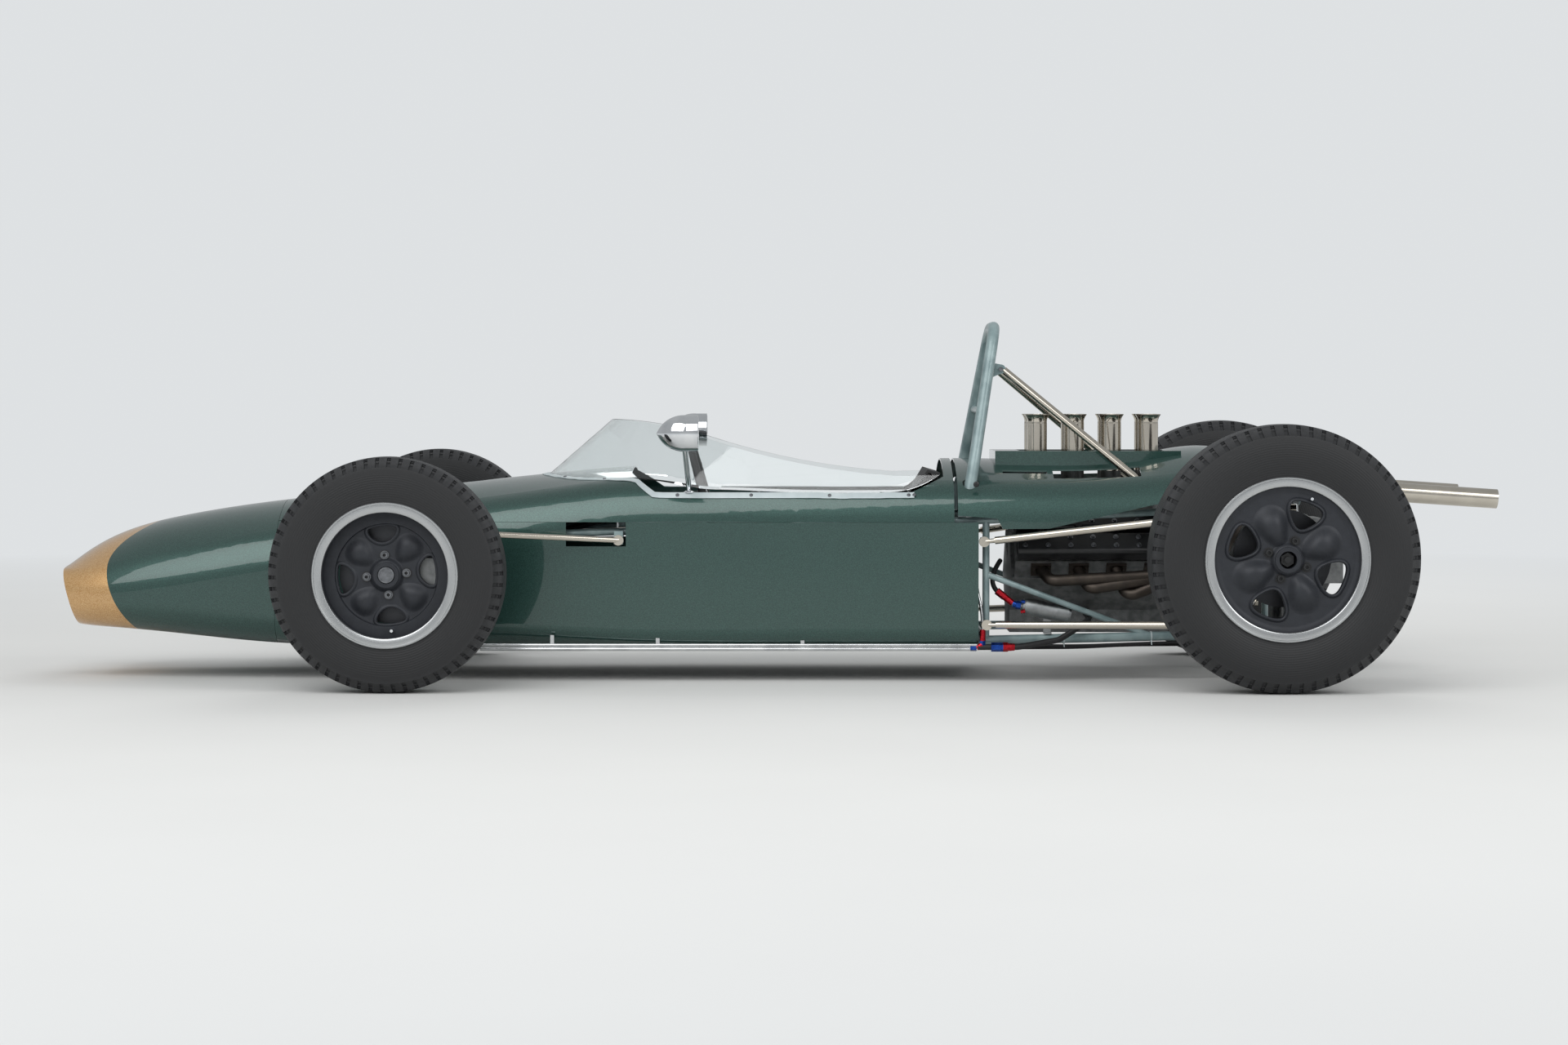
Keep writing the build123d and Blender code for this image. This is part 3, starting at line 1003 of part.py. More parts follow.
with BuildPart() as gearbox:
    block((ENGINE_X[1] + 0.3, ENGINE_X[1] + 70.0), (-150.0, 150.0), (125.0, 400.0))
    block((ENGINE_X[1] + 70.0, REAR_AXLE + 190.0), (-92.0, 92.0), (225.0, 430.0))
    block((REAR_AXLE + 190.0, REAR_AXLE + 250.0), (-70.0, 70.0), (250.0, 410.0))
    rod((REAR_AXLE, -SHAFT_INNER_Y + 0.3, REAR_WHEEL_Z), (REAR_AXLE, SHAFT_INNER_Y - 0.3, REAR_WHEEL_Z), 52.0)
gearbox.part.label = "gearbox"
export_step(gearbox.part, "parts/gearbox.step")

with BuildPart() as radiator:
    block(RADIATOR_X, (-190.0, 190.0), (150.0, 370.0))
radiator.part.label = "radiator"
export_step(radiator.part, "parts/radiator.step")

with BuildPart() as fuel_pump:
    rod((FRONT_AXLE + 1673.0, -262.0, 198.0), (FRONT_AXLE + 1790.0, -262.0, 176.0), 23.5)
    pump_foot = along(post_low, rear_low, 180.0 / (REAR_FRAME - BAY_POST))[2] + RAIL_RADIUS + 0.8
    block((FRONT_AXLE + 1722.0, FRONT_AXLE + 1742.0), (-268.0, -256.0), (pump_foot, 180.0))
    block((FRONT_AXLE + 1722.0, FRONT_AXLE + 1742.0), (-300.0, -256.0), (pump_foot, pump_foot + 4.0))
fuel_pump.part.label = "fuel_pump"
export_step(fuel_pump.part, "parts/fuel_pump.step")

SIDE_PIPE_Y = 336.0
with BuildPart() as side_pipes:
    for z in (98.0, 87.5):
        rod((FRONT_AXLE + 207.0, -SIDE_PIPE_Y, z), (FRONT_AXLE + 1540.0, -SIDE_PIPE_Y, z), 5.0)
    for x in (401.0, 684.0, 1072.0):
        block((FRONT_AXLE + x - 5, FRONT_AXLE + x + 5), (-SIDE_PIPE_Y - 3, -SIDE_PIPE_Y + 3), (85.0, 125.0))
    add(body_outer, mode=Mode.SUBTRACT)
side_pipes.part.label = "side_pipes"
export_step(side_pipes.part, "parts/side_pipes.step")

with BuildPart() as fluid_lines:
    bent_tube(
        [
            (FRONT_AXLE + 1541.0, -SIDE_PIPE_Y, 93.0), (FRONT_AXLE + 1650.0, -SIDE_PIPE_Y, 93.0),
            (FRONT_AXLE + 1760.0, -330.0, 112.0), (FRONT_AXLE + 1838.0, -306.0, 160.0),
            (FRONT_AXLE + 1850.0, -220.0, 168.0), (FRONT_AXLE + 1850.0, -110.6, 168.0),
        ],
        [120.0, 50.0, 40.0, 60.0], 8.0,
    )
fluid_lines.part.label = "fluid_lines"
export_step(fluid_lines.part, "parts/fluid_lines.step")
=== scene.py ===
"""Looks of an open wheel racing car: finishes, tyres, springs, trim and small fittings."""
from math import atan2, cos, pi, radians, sin

import bmesh
import bpy
from mathutils import Matrix, Vector
from mathutils.bvhtree import BVHTree


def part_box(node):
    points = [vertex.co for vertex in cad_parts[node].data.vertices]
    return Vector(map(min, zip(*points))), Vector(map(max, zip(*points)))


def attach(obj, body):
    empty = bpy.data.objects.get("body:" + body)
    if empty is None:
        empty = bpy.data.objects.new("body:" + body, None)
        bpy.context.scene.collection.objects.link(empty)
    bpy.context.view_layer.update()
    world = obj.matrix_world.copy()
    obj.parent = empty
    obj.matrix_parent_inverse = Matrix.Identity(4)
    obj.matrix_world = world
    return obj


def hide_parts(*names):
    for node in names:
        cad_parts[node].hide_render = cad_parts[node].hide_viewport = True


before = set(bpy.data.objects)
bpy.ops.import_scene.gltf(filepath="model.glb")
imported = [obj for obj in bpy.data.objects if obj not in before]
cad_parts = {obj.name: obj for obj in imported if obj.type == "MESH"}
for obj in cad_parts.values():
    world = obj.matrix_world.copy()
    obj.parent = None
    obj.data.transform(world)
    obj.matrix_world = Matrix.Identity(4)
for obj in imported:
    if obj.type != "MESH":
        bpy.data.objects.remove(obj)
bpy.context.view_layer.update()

# ---- places, in metres
FRONT_AXLE = -0.9945
REAR_AXLE = 1.3165
TRACK = {"front": 1.330, "rear": 1.350}
AXLE_X = {"front": FRONT_AXLE, "rear": REAR_AXLE}
TYRE_RADIUS = {"front": 0.305, "rear": 0.347}
SIDES = {"left": -1.0, "right": 1.0}
ORIGIN, AFT, UP = (0, 0, 0), (1, 0, 0), (0, 0, 1)
ENGINE_FRONT, ENGINE_REAR = 0.6455, 1.0815
CRANK_Z = 0.190
CYLINDERS = [0.7235 + 0.102 * row for row in range(4)]

# ---- camera
CAMERA_PLACE = (0.0605, -9.665, 0.766)
FOCAL_PIXELS = 4270.0
FRAME_WIDTH_PIXELS = 1920.0
SENSOR_WIDTH = 36.0
PITCH_DOWN = radians(2.08)
YAW = radians(0.2)


def put(name, data):
    """A new object in the scene."""
    made = bpy.data.objects.new(name, data)
    bpy.context.collection.objects.link(made)
    return made


def mesh_of(name, form):
    """A mesh from a bmesh, which is freed."""
    mesh = bpy.data.meshes.new(name)
    form.to_mesh(mesh)
    form.free()
    return mesh


camera_data = bpy.data.cameras.new("camera")
camera_data.sensor_width = SENSOR_WIDTH
camera_data.lens = FOCAL_PIXELS / FRAME_WIDTH_PIXELS * SENSOR_WIDTH
camera = put("camera", camera_data)
camera.location = CAMERA_PLACE
camera.rotation_euler = (pi / 2 - PITCH_DOWN, 0.0, YAW)
bpy.context.scene.camera = camera
bpy.context.scene.view_settings.view_transform = "Standard"


# ---- node helpers
def linear(hex_colour):
    """Linear RGBA of an sRGB hex colour."""
    channels = [int(hex_colour[start:start + 2], 16) / 255.0 for start in (1, 3, 5)]
    curve = [c / 12.92 if c <= 0.04045 else ((c + 0.055) / 1.055) ** 2.4 for c in channels]
    return (*curve, 1.0)


def add_node(tree, kind, inputs=None, **settings):
    """Add a node with its settings; each input is a value or the socket that feeds it."""
    made = tree.nodes.new("ShaderNode" + kind)
    for name, value in settings.items():
        setattr(made, name, value)
    for key, value in (inputs or {}).items():
        if isinstance(value, bpy.types.NodeSocket):
            tree.links.new(value, made.inputs[key])
        else:
            made.inputs[key].default_value = value
    return made


def blank_material(name, **values):
    """A material with one Principled shader, its values set, and Object coordinates."""
    material = bpy.data.materials.new(name)
    material.use_nodes = True
    tree = material.node_tree
    shader = tree.nodes["Principled BSDF"]
    for key, value in values.items():
        shader.inputs[key.replace("_", " ")].default_value = value
    place = add_node(tree, "TexCoord").outputs["Object"]
    return material, tree, shader, place


def blend(tree, factor, first, second):
    """A colour between two colours by a 0 to 1 factor."""
    return add_node(tree, "Mix", {0: factor, 6: first, 7: second}, data_type="RGBA").outputs[2]


def two_tone(tree, factor, dark, light):
    """A colour between two hex colours by a 0 to 1 factor."""
    return blend(tree, factor, linear(dark), linear(light))


def feed(node, key, value):
    """Let a socket drive one input of a node."""
    node.id_data.links.new(value, node.inputs[key])


def noise(tree, place, size, detail=3.0):
    """Noise whose grain is about size metres across."""
    inputs = {"Vector": place, "Scale": 1.0 / size, "Detail": detail}
    return add_node(tree, "TexNoise", inputs).outputs["Fac"]


def bump(tree, shader, height, depth, strength=1.0):
    """Bump of a real depth in metres."""
    made = add_node(tree, "Bump", {"Height": height, "Distance": depth, "Strength": strength})
    feed(shader, "Normal", made.outputs["Normal"])


def compute(tree, operation, first, second=0.0):
    """One Math node."""
    return add_node(tree, "Math", {0: first, 1: second}, operation=operation).outputs[0]


def range_of(tree, value, low, high, out_low=0.0, out_high=1.0):
    """A value mapped from one range to another and held at its ends."""
    inputs = {"Value": value, "From Min": low, "From Max": high, "To Min": out_low, "To Max": out_high}
    return add_node(tree, "MapRange", inputs).outputs["Result"]


def worn(name, dark, light, patch, roughness, spread, grain=0.0, depth=0.0, **values):
    """A finish with soft patches of two near colours, uneven gloss and an optional fine grain."""
    material, tree, shader, place = blank_material(name, **values)
    cloud = noise(tree, place, patch)
    colour = two_tone(tree, range_of(tree, cloud, 0.35, 0.65), dark, light)
    feed(shader, "Base Color", colour)
    gloss = range_of(tree, cloud, 0.3, 0.7, roughness - spread, roughness + spread)
    feed(shader, "Roughness", gloss)
    if grain:
        bump(tree, shader, noise(tree, place, grain, 2.0), depth)
    return material


# ---- finishes
def metallic_paint(name, gold_nose):
    """Sprayed metallic cellulose under lacquer: dark green with fine flake, and gold at the nose if asked."""
    values = {"Metallic": 0.55, "Roughness": 0.34, "Coat_Weight": 1.0, "Coat_Roughness": 0.04}
    material, tree, shader, place = blank_material(name, **values)
    # The flake is about 0.1 mm in the real paint and is drawn at 1.2 mm, to show.
    flake = add_node(tree, "TexVoronoi", {"Vector": place, "Scale": 1.0 / 0.0012}).outputs["Color"]
    sparkle = add_node(tree, "SeparateColor", {"Color": flake}).outputs[0]
    green = two_tone(tree, range_of(tree, sparkle, 0.2, 1.0), "#22403B", "#34564F")
    if gold_nose:
        axis = add_node(tree, "SeparateXYZ", {"Vector": place})
        height = compute(tree, "SUBTRACT", axis.outputs["Z"], GOLD_EDGE_HEIGHT)
        edge = GOLD_EDGE_X
        for pick, sweep in (("MAXIMUM", GOLD_SWEEP_TOP), ("MINIMUM", GOLD_SWEEP_BOTTOM)):
            part = compute(tree, pick, height, 0.0)
            square = compute(tree, "MULTIPLY", part, part)
            edge = compute(tree, "ADD", compute(tree, "MULTIPLY", square, sweep), edge)
        behind = range_of(tree, compute(tree, "SUBTRACT", axis.outputs["X"], edge), -0.0006, 0.0006)
        gold = two_tone(tree, range_of(tree, sparkle, 0.2, 1.0), "#B98B52", "#D8B481")
        green = blend(tree, behind, gold, green)
    feed(shader, "Base Color", green)
    bump(tree, shader, noise(tree, place, 0.012, 1.0), 0.00006)
    return material


GOLD_EDGE_X = -1.8115
GOLD_EDGE_HEIGHT = 0.306
GOLD_SWEEP_TOP = 8.4
GOLD_SWEEP_BOTTOM = 2.6

green_paint = metallic_paint("metallic_green_cellulose", False)
nose_paint = metallic_paint("metallic_green_and_gold_cellulose", True)
# Brushed enamel on steel tube: satin grey-green with slight dulling.
frame_enamel = worn("grey_green_enamel", "#74888A", "#92A5A6", 0.05, 0.36, 0.06,
                    Metallic=0.15, Coat_Weight=0.3)
# Stove enamel: black, half gloss.
black_enamel = worn("black_stove_enamel", "#0F1011", "#1B1C1E", 0.03, 0.38, 0.08, 0.002, 0.00004)
# Nickel plate on steel: warm and bright, with faint clouding from handling.
nickel = worn("nickel_plate", "#BFB8AC", "#CDC6BA", 0.25, 0.15, 0.02, Metallic=1.0)
# Chrome plate: cool, mirror bright.
chrome = worn("chrome_plate", "#D4D7DA", "#E6E8EA", 0.05, 0.06, 0.02, Metallic=1.0)
# Steel turned in a lathe: grey and half bright.
turned_steel = worn("turned_steel", "#6E7073", "#84868A", 0.01, 0.33, 0.05, Metallic=1.0)
# Mirror glass, silvered behind.
mirror_glass = worn("silvered_glass", "#C9CDD0", "#CFD3D6", 0.1, 0.03, 0.01, Metallic=1.0)
# White enamel of the screen's fixing strip, slightly greyed.
strip_enamel = worn("pale_grey_enamel", "#B7C2C4", "#C6CFD0", 0.05, 0.35, 0.05, Metallic=0.2)
# Drawn aluminium tube, polished.
bright_tube = worn("polished_aluminium_tube", "#C4C6C8", "#DADCDD", 0.04, 0.2, 0.05, Metallic=1.0)
# Aluminium sheet as rolled: grey, satin, with fine scratches.
sheet_alloy = worn("rolled_aluminium_sheet", "#8E9192", "#A9ACAD", 0.03, 0.4, 0.08, 0.0015, 0.00003,
                   Metallic=1.0)
# Sand-cast aluminium: dull, pebbled grain of about 2 mm.
cast_alloy = worn("sand_cast_aluminium", "#6F7172", "#8C8E8E", 0.02, 0.52, 0.07, 0.002, 0.00018, Metallic=0.9)
# Vinyl-faced seat cloth: black, fine leather-like grain.
seat_vinyl = worn("black_vinyl", "#151515", "#202021", 0.02, 0.5, 0.06, 0.0022, 0.00025)
# Vulcanised rubber hose: dark and dull.
hose_rubber = worn("hose_rubber", "#141415", "#1E1E20", 0.01, 0.55, 0.06, 0.0015, 0.00005)
# Anodised aluminium hose ends in red and blue.
red_anodised = worn("red_anodised_aluminium", "#A31621", "#BC2530", 0.01, 0.28, 0.05, Metallic=0.85)
blue_anodised = worn("blue_anodised_aluminium", "#1D3F8F", "#2A55AE", 0.01, 0.28, 0.05, Metallic=0.85)


def screen_acrylic():
    """Blown acrylic sheet: clear, glossy, very faintly smoky."""
    values = {"Transmission_Weight": 1.0, "IOR": 1.49, "Roughness": 0.01}
    material, tree, shader, place = blank_material("clear_acrylic", **values)
    tint = two_tone(tree, noise(tree, place, 0.2), "#F2F6F6", "#F8FAFA")
    feed(shader, "Base Color", tint)
    return material


def axle_distance(tree, place, end):
    """Distance from a wheel's axle, in metres."""
    centre = add_node(tree, "Mapping", {
        "Vector": place, "Location": (-AXLE_X[end], 0.0, -TYRE_RADIUS[end]), "Scale": (1.0, 0.0, 1.0)})
    return add_node(tree, "VectorMath", {0: centre.outputs[0]}, operation="LENGTH").outputs["Value"]


def wheel_magnesium(end, lip_from):
    """Cast magnesium, chromated and matt dark grey, with the rim's lip turned bright in a lathe."""
    values = {"Metallic": 0.6, "Roughness": 0.5}
    material, tree, shader, place = blank_material(f"cast_magnesium_{end}", **values)
    distance = axle_distance(tree, place, end)
    lip = range_of(tree, distance, lip_from, lip_from + 0.0015)
    casting = two_tone(tree, noise(tree, place, 0.02), "#212328", "#2F3238")
    feed(shader, "Base Color", blend(tree, lip, casting, linear("#B9BBBC")))
    feed(shader, "Roughness", range_of(tree, lip, 0.0, 1.0, 0.5, 0.27))
    feed(shader, "Metallic", range_of(tree, lip, 0.0, 1.0, 0.3, 1.0))
    pebbles = noise(tree, place, 0.003, 2.0)
    rough_cast = compute(tree, "MULTIPLY", pebbles, range_of(tree, lip, 0.0, 1.0, 1.0, 0.1))
    bump(tree, shader, rough_cast, 0.00015)
    return material


def brake_iron(end):
    """Grey cast iron disc, turned: fine rings round the axle."""
    material, tree, shader, place = blank_material(f"turned_cast_iron_{end}", Metallic=0.9, Roughness=0.38)
    distance = axle_distance(tree, place, end)
    # The lathe rings are about 0.3 mm apart and are drawn at 2 mm, to show.
    rings = compute(tree, "SINE", compute(tree, "MULTIPLY", distance, 2 * pi / 0.002))
    tint = two_tone(tree, range_of(tree, rings, -1.0, 1.0), "#3F4043", "#4E4F52")
    feed(shader, "Base Color", tint)
    bump(tree, shader, rings, 0.00004)
    return material


def tyre_rubber(end):
    """Carbon-black racing rubber: soft sheen, faint moulding rings on the wall, scuffed grey on the tread."""
    material, tree, shader, place = blank_material(f"tyre_rubber_{end}", Roughness=0.56)
    distance = axle_distance(tree, place, end)
    scuff = compute(tree, "MULTIPLY", noise(tree, place, 0.012), range_of(
        tree, distance, TYRE_RADIUS[end] - 0.035, TYRE_RADIUS[end] - 0.008))
    feed(shader, "Base Color", two_tone(tree, scuff, "#17181A", "#393A3C"))
    # Mould rings on the wall, 6 mm apart.
    rings = compute(tree, "SINE", compute(tree, "MULTIPLY", distance, 2 * pi / 0.006))
    wall = range_of(tree, distance, TYRE_RADIUS[end] - 0.05, TYRE_RADIUS[end] - 0.04, 1.0, 0.0)
    grain = compute(tree, "ADD", compute(tree, "MULTIPLY", rings, wall), noise(tree, place, 0.0015, 2.0))
    bump(tree, shader, grain, 0.00012)
    return material


def exhaust_steel():
    """Steel pipes, scaled dark near the engine and polished on the long tail."""
    material, tree, shader, place = blank_material("steel_exhaust", Metallic=1.0)
    along = add_node(tree, "SeparateXYZ", {"Vector": place}).outputs["X"]
    polished = range_of(tree, along, REAR_AXLE - 0.06, REAR_AXLE + 0.10)
    scaled = two_tone(tree, noise(tree, place, 0.03), "#383533", "#5A524B")
    bright = two_tone(tree, noise(tree, place, 0.05), "#B9B2A6", "#D2CCC0")
    feed(shader, "Base Color", blend(tree, polished, scaled, bright))
    feed(shader, "Roughness", range_of(tree, polished, 0.0, 1.0, 0.45, 0.17))
    return material


acrylic = screen_acrylic()
steel_exhaust = exhaust_steel()
magnesium = {"front": wheel_magnesium("front", 0.1612), "rear": wheel_magnesium("rear", 0.1862)}
disc_iron = {end: brake_iron(end) for end in AXLE_X}
rubber = {end: tyre_rubber(end) for end in AXLE_X}

# ---- finishes of the carried-over pieces
# columns: finish, nodes that wear it
FINISHES = [
    (nose_paint, "nose_cone"),
    (green_paint, "cockpit_cowl side_panels engine_cover"),
    (acrylic, "windscreen"),
    (sheet_alloy, "floor_tray dashboard fuel_pump rack_housing steering_rack"),
    (seat_vinyl, "seat steering_wheel"),
    (black_enamel, "gear_lever cam_covers radiator front_spring_dampers rear_spring_dampers steering_column"),
    (chrome, "mirrors"),
    (frame_enamel, "frame_tubes frame_cross_tubes roll_hoop"),
    (nickel, "roll_hoop_stays inlet_trumpets front_lower_wishbones front_upper_arms"),
    (nickel, "rear_top_links rear_lower_wishbones rear_radius_rods"),
    (cast_alloy, "engine_block gearbox rear_uprights front_upright_left front_upright_right"),
    (steel_exhaust, "exhausts"),
    (hose_rubber, "fluid_lines"),
    (bright_tube, "side_pipes"),
]
for end in AXLE_X:
    for side in SIDES:
        FINISHES += [(magnesium[end], f"wheel_{end}_{side}"), (disc_iron[end], f"brake_disc_{end}_{side}"),
                     (rubber[end], f"tyre_{end}_{side}")]
for finish, node_names in FINISHES:
    for node_name in node_names.split():
        carried = bpy.data.objects[node_name]
        carried.data.materials.clear()
        carried.data.materials.append(finish)


# ---- floor, light
def studio():
    """A pale floor, a pale surround and three large soft lamps."""
    floor_form = bmesh.new()
    bmesh.ops.create_grid(floor_form, x_segments=1, y_segments=1, size=60.0)
    floor = put("floor", mesh_of("floor", floor_form))
    material, tree, shader, place = blank_material("pale_floor", Roughness=0.8)
    feed(shader, "Base Color", two_tone(tree, noise(tree, place, 0.8), "#D9D9D7", "#DEDEDC"))
    # Away from the car the floor fades into the pale surround, so that no horizon shows.
    away = add_node(tree, "VectorMath", {0: place}, operation="LENGTH").outputs["Value"]
    fade = range_of(tree, away, 2.6, 8.0)
    glow = add_node(tree, "Emission", {"Color": linear("#E9ECEE"), "Strength": 0.9})
    faded = add_node(tree, "MixShader", {0: fade, 1: shader.outputs[0], 2: glow.outputs[0]})
    feed(tree.nodes["Material Output"], "Surface", faded.outputs[0])
    floor.data.materials.append(material)

    world = bpy.data.worlds.new("surround")
    bpy.context.scene.world = world
    world.use_nodes = True
    tree = world.node_tree
    rays = add_node(tree, "LightPath").outputs
    seen = compute(tree, "MAXIMUM", rays["Is Camera Ray"], rays["Is Transmission Ray"])
    strength = range_of(tree, seen, 0.0, 1.0, 0.55, 0.9)
    background = tree.nodes["Background"]
    background.inputs["Color"].default_value = linear("#E9ECEE")
    feed(background, "Strength", strength)

    # columns: name, place, size, power in watts
    lamps = [
        ("key_lamp", (-3.0, -6.0, 6.0), 7.5, 440.0),
        ("fill_lamp", (5.0, -5.0, 4.0), 4.0, 160.0),
        ("back_lamp", (1.0, 6.0, 5.0), 5.0, 220.0),
    ]
    for name, place, size, power in lamps:
        data = bpy.data.lights.new(name, "AREA")
        data.size = size
        data.energy = power
        lamp = put(name, data)
        lamp.location = place
        aim = Vector((0.0, 0.0, 0.4)) - Vector(place)
        lamp.rotation_euler = aim.to_track_quat("-Z", "Y").to_euler()
        lamp.visible_glossy = name != "back_lamp"


studio()


# ---- mesh helpers
def clean(form):
    """Join doubled points and turn the faces outwards."""
    bmesh.ops.remove_doubles(form, verts=form.verts, dist=0.00001)
    bmesh.ops.recalc_face_normals(form, faces=form.faces)


def move(form, matrix):
    """Carry a whole bmesh by a matrix."""
    bmesh.ops.transform(form, matrix=matrix, verts=form.verts)


def piece(name, form, material, replaced=(), smooth=35.0, body="chassis"):
    """Turn a bmesh into a piece that rides on a body."""
    clean(form)
    mesh = mesh_of(name, form)
    mesh.materials.append(material)
    mesh.shade_smooth()
    mesh.set_sharp_from_angle(angle=radians(smooth))
    made = put(name, mesh)
    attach(made, body)
    if replaced:
        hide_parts(*replaced)
    return made


def toward(origin, direction):
    """A matrix at origin whose z points along direction."""
    turn = Vector(direction).to_track_quat("Z", "Y").to_matrix().to_4x4()
    return Matrix.Translation(Vector(origin)) @ turn


def add_cone(form, origin, direction, length, low, high, sides=24):
    """A closed cone or cylinder from origin along direction."""
    place = toward(origin, direction) @ Matrix.Translation((0, 0, length / 2))
    bmesh.ops.create_cone(form, cap_ends=True, segments=sides, radius1=low, radius2=high, depth=length,
                          matrix=place)


def add_rod(form, start, end, radius, sides=16):
    """A closed rod between two points."""
    span = Vector(end) - Vector(start)
    add_cone(form, start, span, span.length, radius, radius, sides)


def add_spun(form, outline, origin, axis, steps):
    """A solid of revolution: outline points are (radius, distance along the axis), closed round."""
    place = toward(origin, axis)
    made = [form.verts.new(place @ Vector((radius, 0.0, height))) for radius, height in outline]
    edges = [form.edges.new((made[i], made[(i + 1) % len(made)])) for i in range(len(made))]
    bmesh.ops.spin(form, geom=made + edges, cent=place.translation, axis=place.col[2].to_3d(),
                   angle=2 * pi, steps=steps, use_merge=True)


def add_loops(form, loops, closed=False):
    """Faces between loops of equal length; closed joins last to first, and otherwise both are capped."""
    rows = [[form.verts.new(point) for point in loop] for loop in loops]
    for low, high in zip(rows, rows[1:] + rows[:1] if closed else rows[1:]):
        for i in range(len(low)):
            form.faces.new((low[i - 1], low[i], high[i], high[i - 1]))
    if not closed:
        form.faces.new(rows[0])
        form.faces.new(rows[-1])


def add_plate(form, outlines, height, thickness):
    """A flat plate; the first outline is its edge and the others are its holes."""
    edges = []
    for outline in outlines:
        made = [form.verts.new((x, y, height)) for x, y in outline]
        edges += [form.edges.new((made[i - 1], made[i])) for i in range(len(made))]
    filled = bmesh.ops.triangle_fill(form, use_beauty=True, edges=edges)["geom"]
    faces = [element for element in filled if isinstance(element, bmesh.types.BMFace)]
    extruded = bmesh.ops.extrude_face_region(form, geom=faces)["geom"]
    back = [element for element in extruded if isinstance(element, bmesh.types.BMVert)]
    bmesh.ops.translate(form, verts=back, vec=(0.0, 0.0, -thickness))


def add_coil(form, start, end, coil, wire, turns):
    """A coil of round wire between two points."""
    place = toward(start, Vector(end) - Vector(start))
    length = (Vector(end) - Vector(start)).length
    steps = turns * 20
    loops = []
    for step in range(steps + 1):
        angle = 2 * pi * turns * step / steps
        outward = Vector((cos(angle), sin(angle), 0.0))
        middle = outward * coil + Vector((0.0, 0.0, length * step / steps))
        loops.append([place @ (middle + outward * wire * cos(turn * pi / 4)
                               + Vector((0.0, 0.0, wire * sin(turn * pi / 4)))) for turn in range(8)])
    add_loops(form, loops)


def circle(radius, steps=64):
    """Points of a circle round the origin."""
    angles = [2 * pi * step / steps for step in range(steps)]
    return [(radius * cos(angle), radius * sin(angle)) for angle in angles]


def rounded(corners, rounds=3):
    """A closed outline whose corners are cut again and again until they are round."""
    for _ in range(rounds):
        cut = []
        for here, after in zip(corners, corners[1:] + corners[:1]):
            cut += [here.lerp(after, 0.25), here.lerp(after, 0.75)]
        corners = cut
    return corners


def grown(outline, amount):
    """An outline moved outwards by a distance."""
    centre = sum(outline, Vector((0.0, 0.0))) / len(outline)
    moved = []
    for i, point in enumerate(outline):
        along = outline[(i + 1) % len(outline)] - outline[i - 1]
        normal = Vector((along.y, -along.x)).normalized()
        if normal.dot(point - centre) < 0:
            normal = -normal
        moved.append(point + normal * amount)
    return moved


def mirrored(point, out):
    """A point or direction with its y times out: 1 or -1, for either side of the car."""
    return Vector((point[0], point[1] * out, point[2]))


def hose(name, points, radius, material):
    """A smooth hose or pipe on the chassis through a few points, its ends closed."""
    curve = bpy.data.curves.new(name, "CURVE")
    curve.dimensions = "3D"
    curve.bevel_depth = radius
    curve.bevel_resolution = 4
    curve.use_fill_caps = True
    spline = curve.splines.new("NURBS")
    spline.points.add(len(points) - 1)
    for point, place in zip(spline.points, points):
        point.co = (*place, 1.0)
    spline.order_u = 3
    spline.use_endpoint_u = True
    spline.resolution_u = 8
    source = bpy.data.objects.new(name + "_path", curve)
    form = bmesh.new()
    form.from_mesh(source.to_mesh())
    bpy.data.objects.remove(source)
    bpy.data.curves.remove(curve)
    piece(name, form, material)


# ---- tyres
# columns: half section, half tread, rim radius, half bead width, shoulder sipes
TYRES = {"front": (0.080, 0.0496, 0.188, 0.076, 62), "rear": (0.103, 0.0639, 0.212, 0.092, 64)}
STEPS_PER_SIPE = 3
SIPE_DEPTH, SIPE_TAPER, SIPE_REACH = 0.0035, 0.12, 0.030
BEAD_DEPTH = 0.018
WALL_STEPS = 8
# columns: drop from the tyre's radius, distance outside the tread
SHOULDER = [(0.014, 0.012), (0.0075, 0.0075), (0.0025, 0.0)]
GROOVES, GROOVE_DEPTH, GROOVE_HALF = 5, 0.005, 0.0022
CROWN_DROP = 0.002


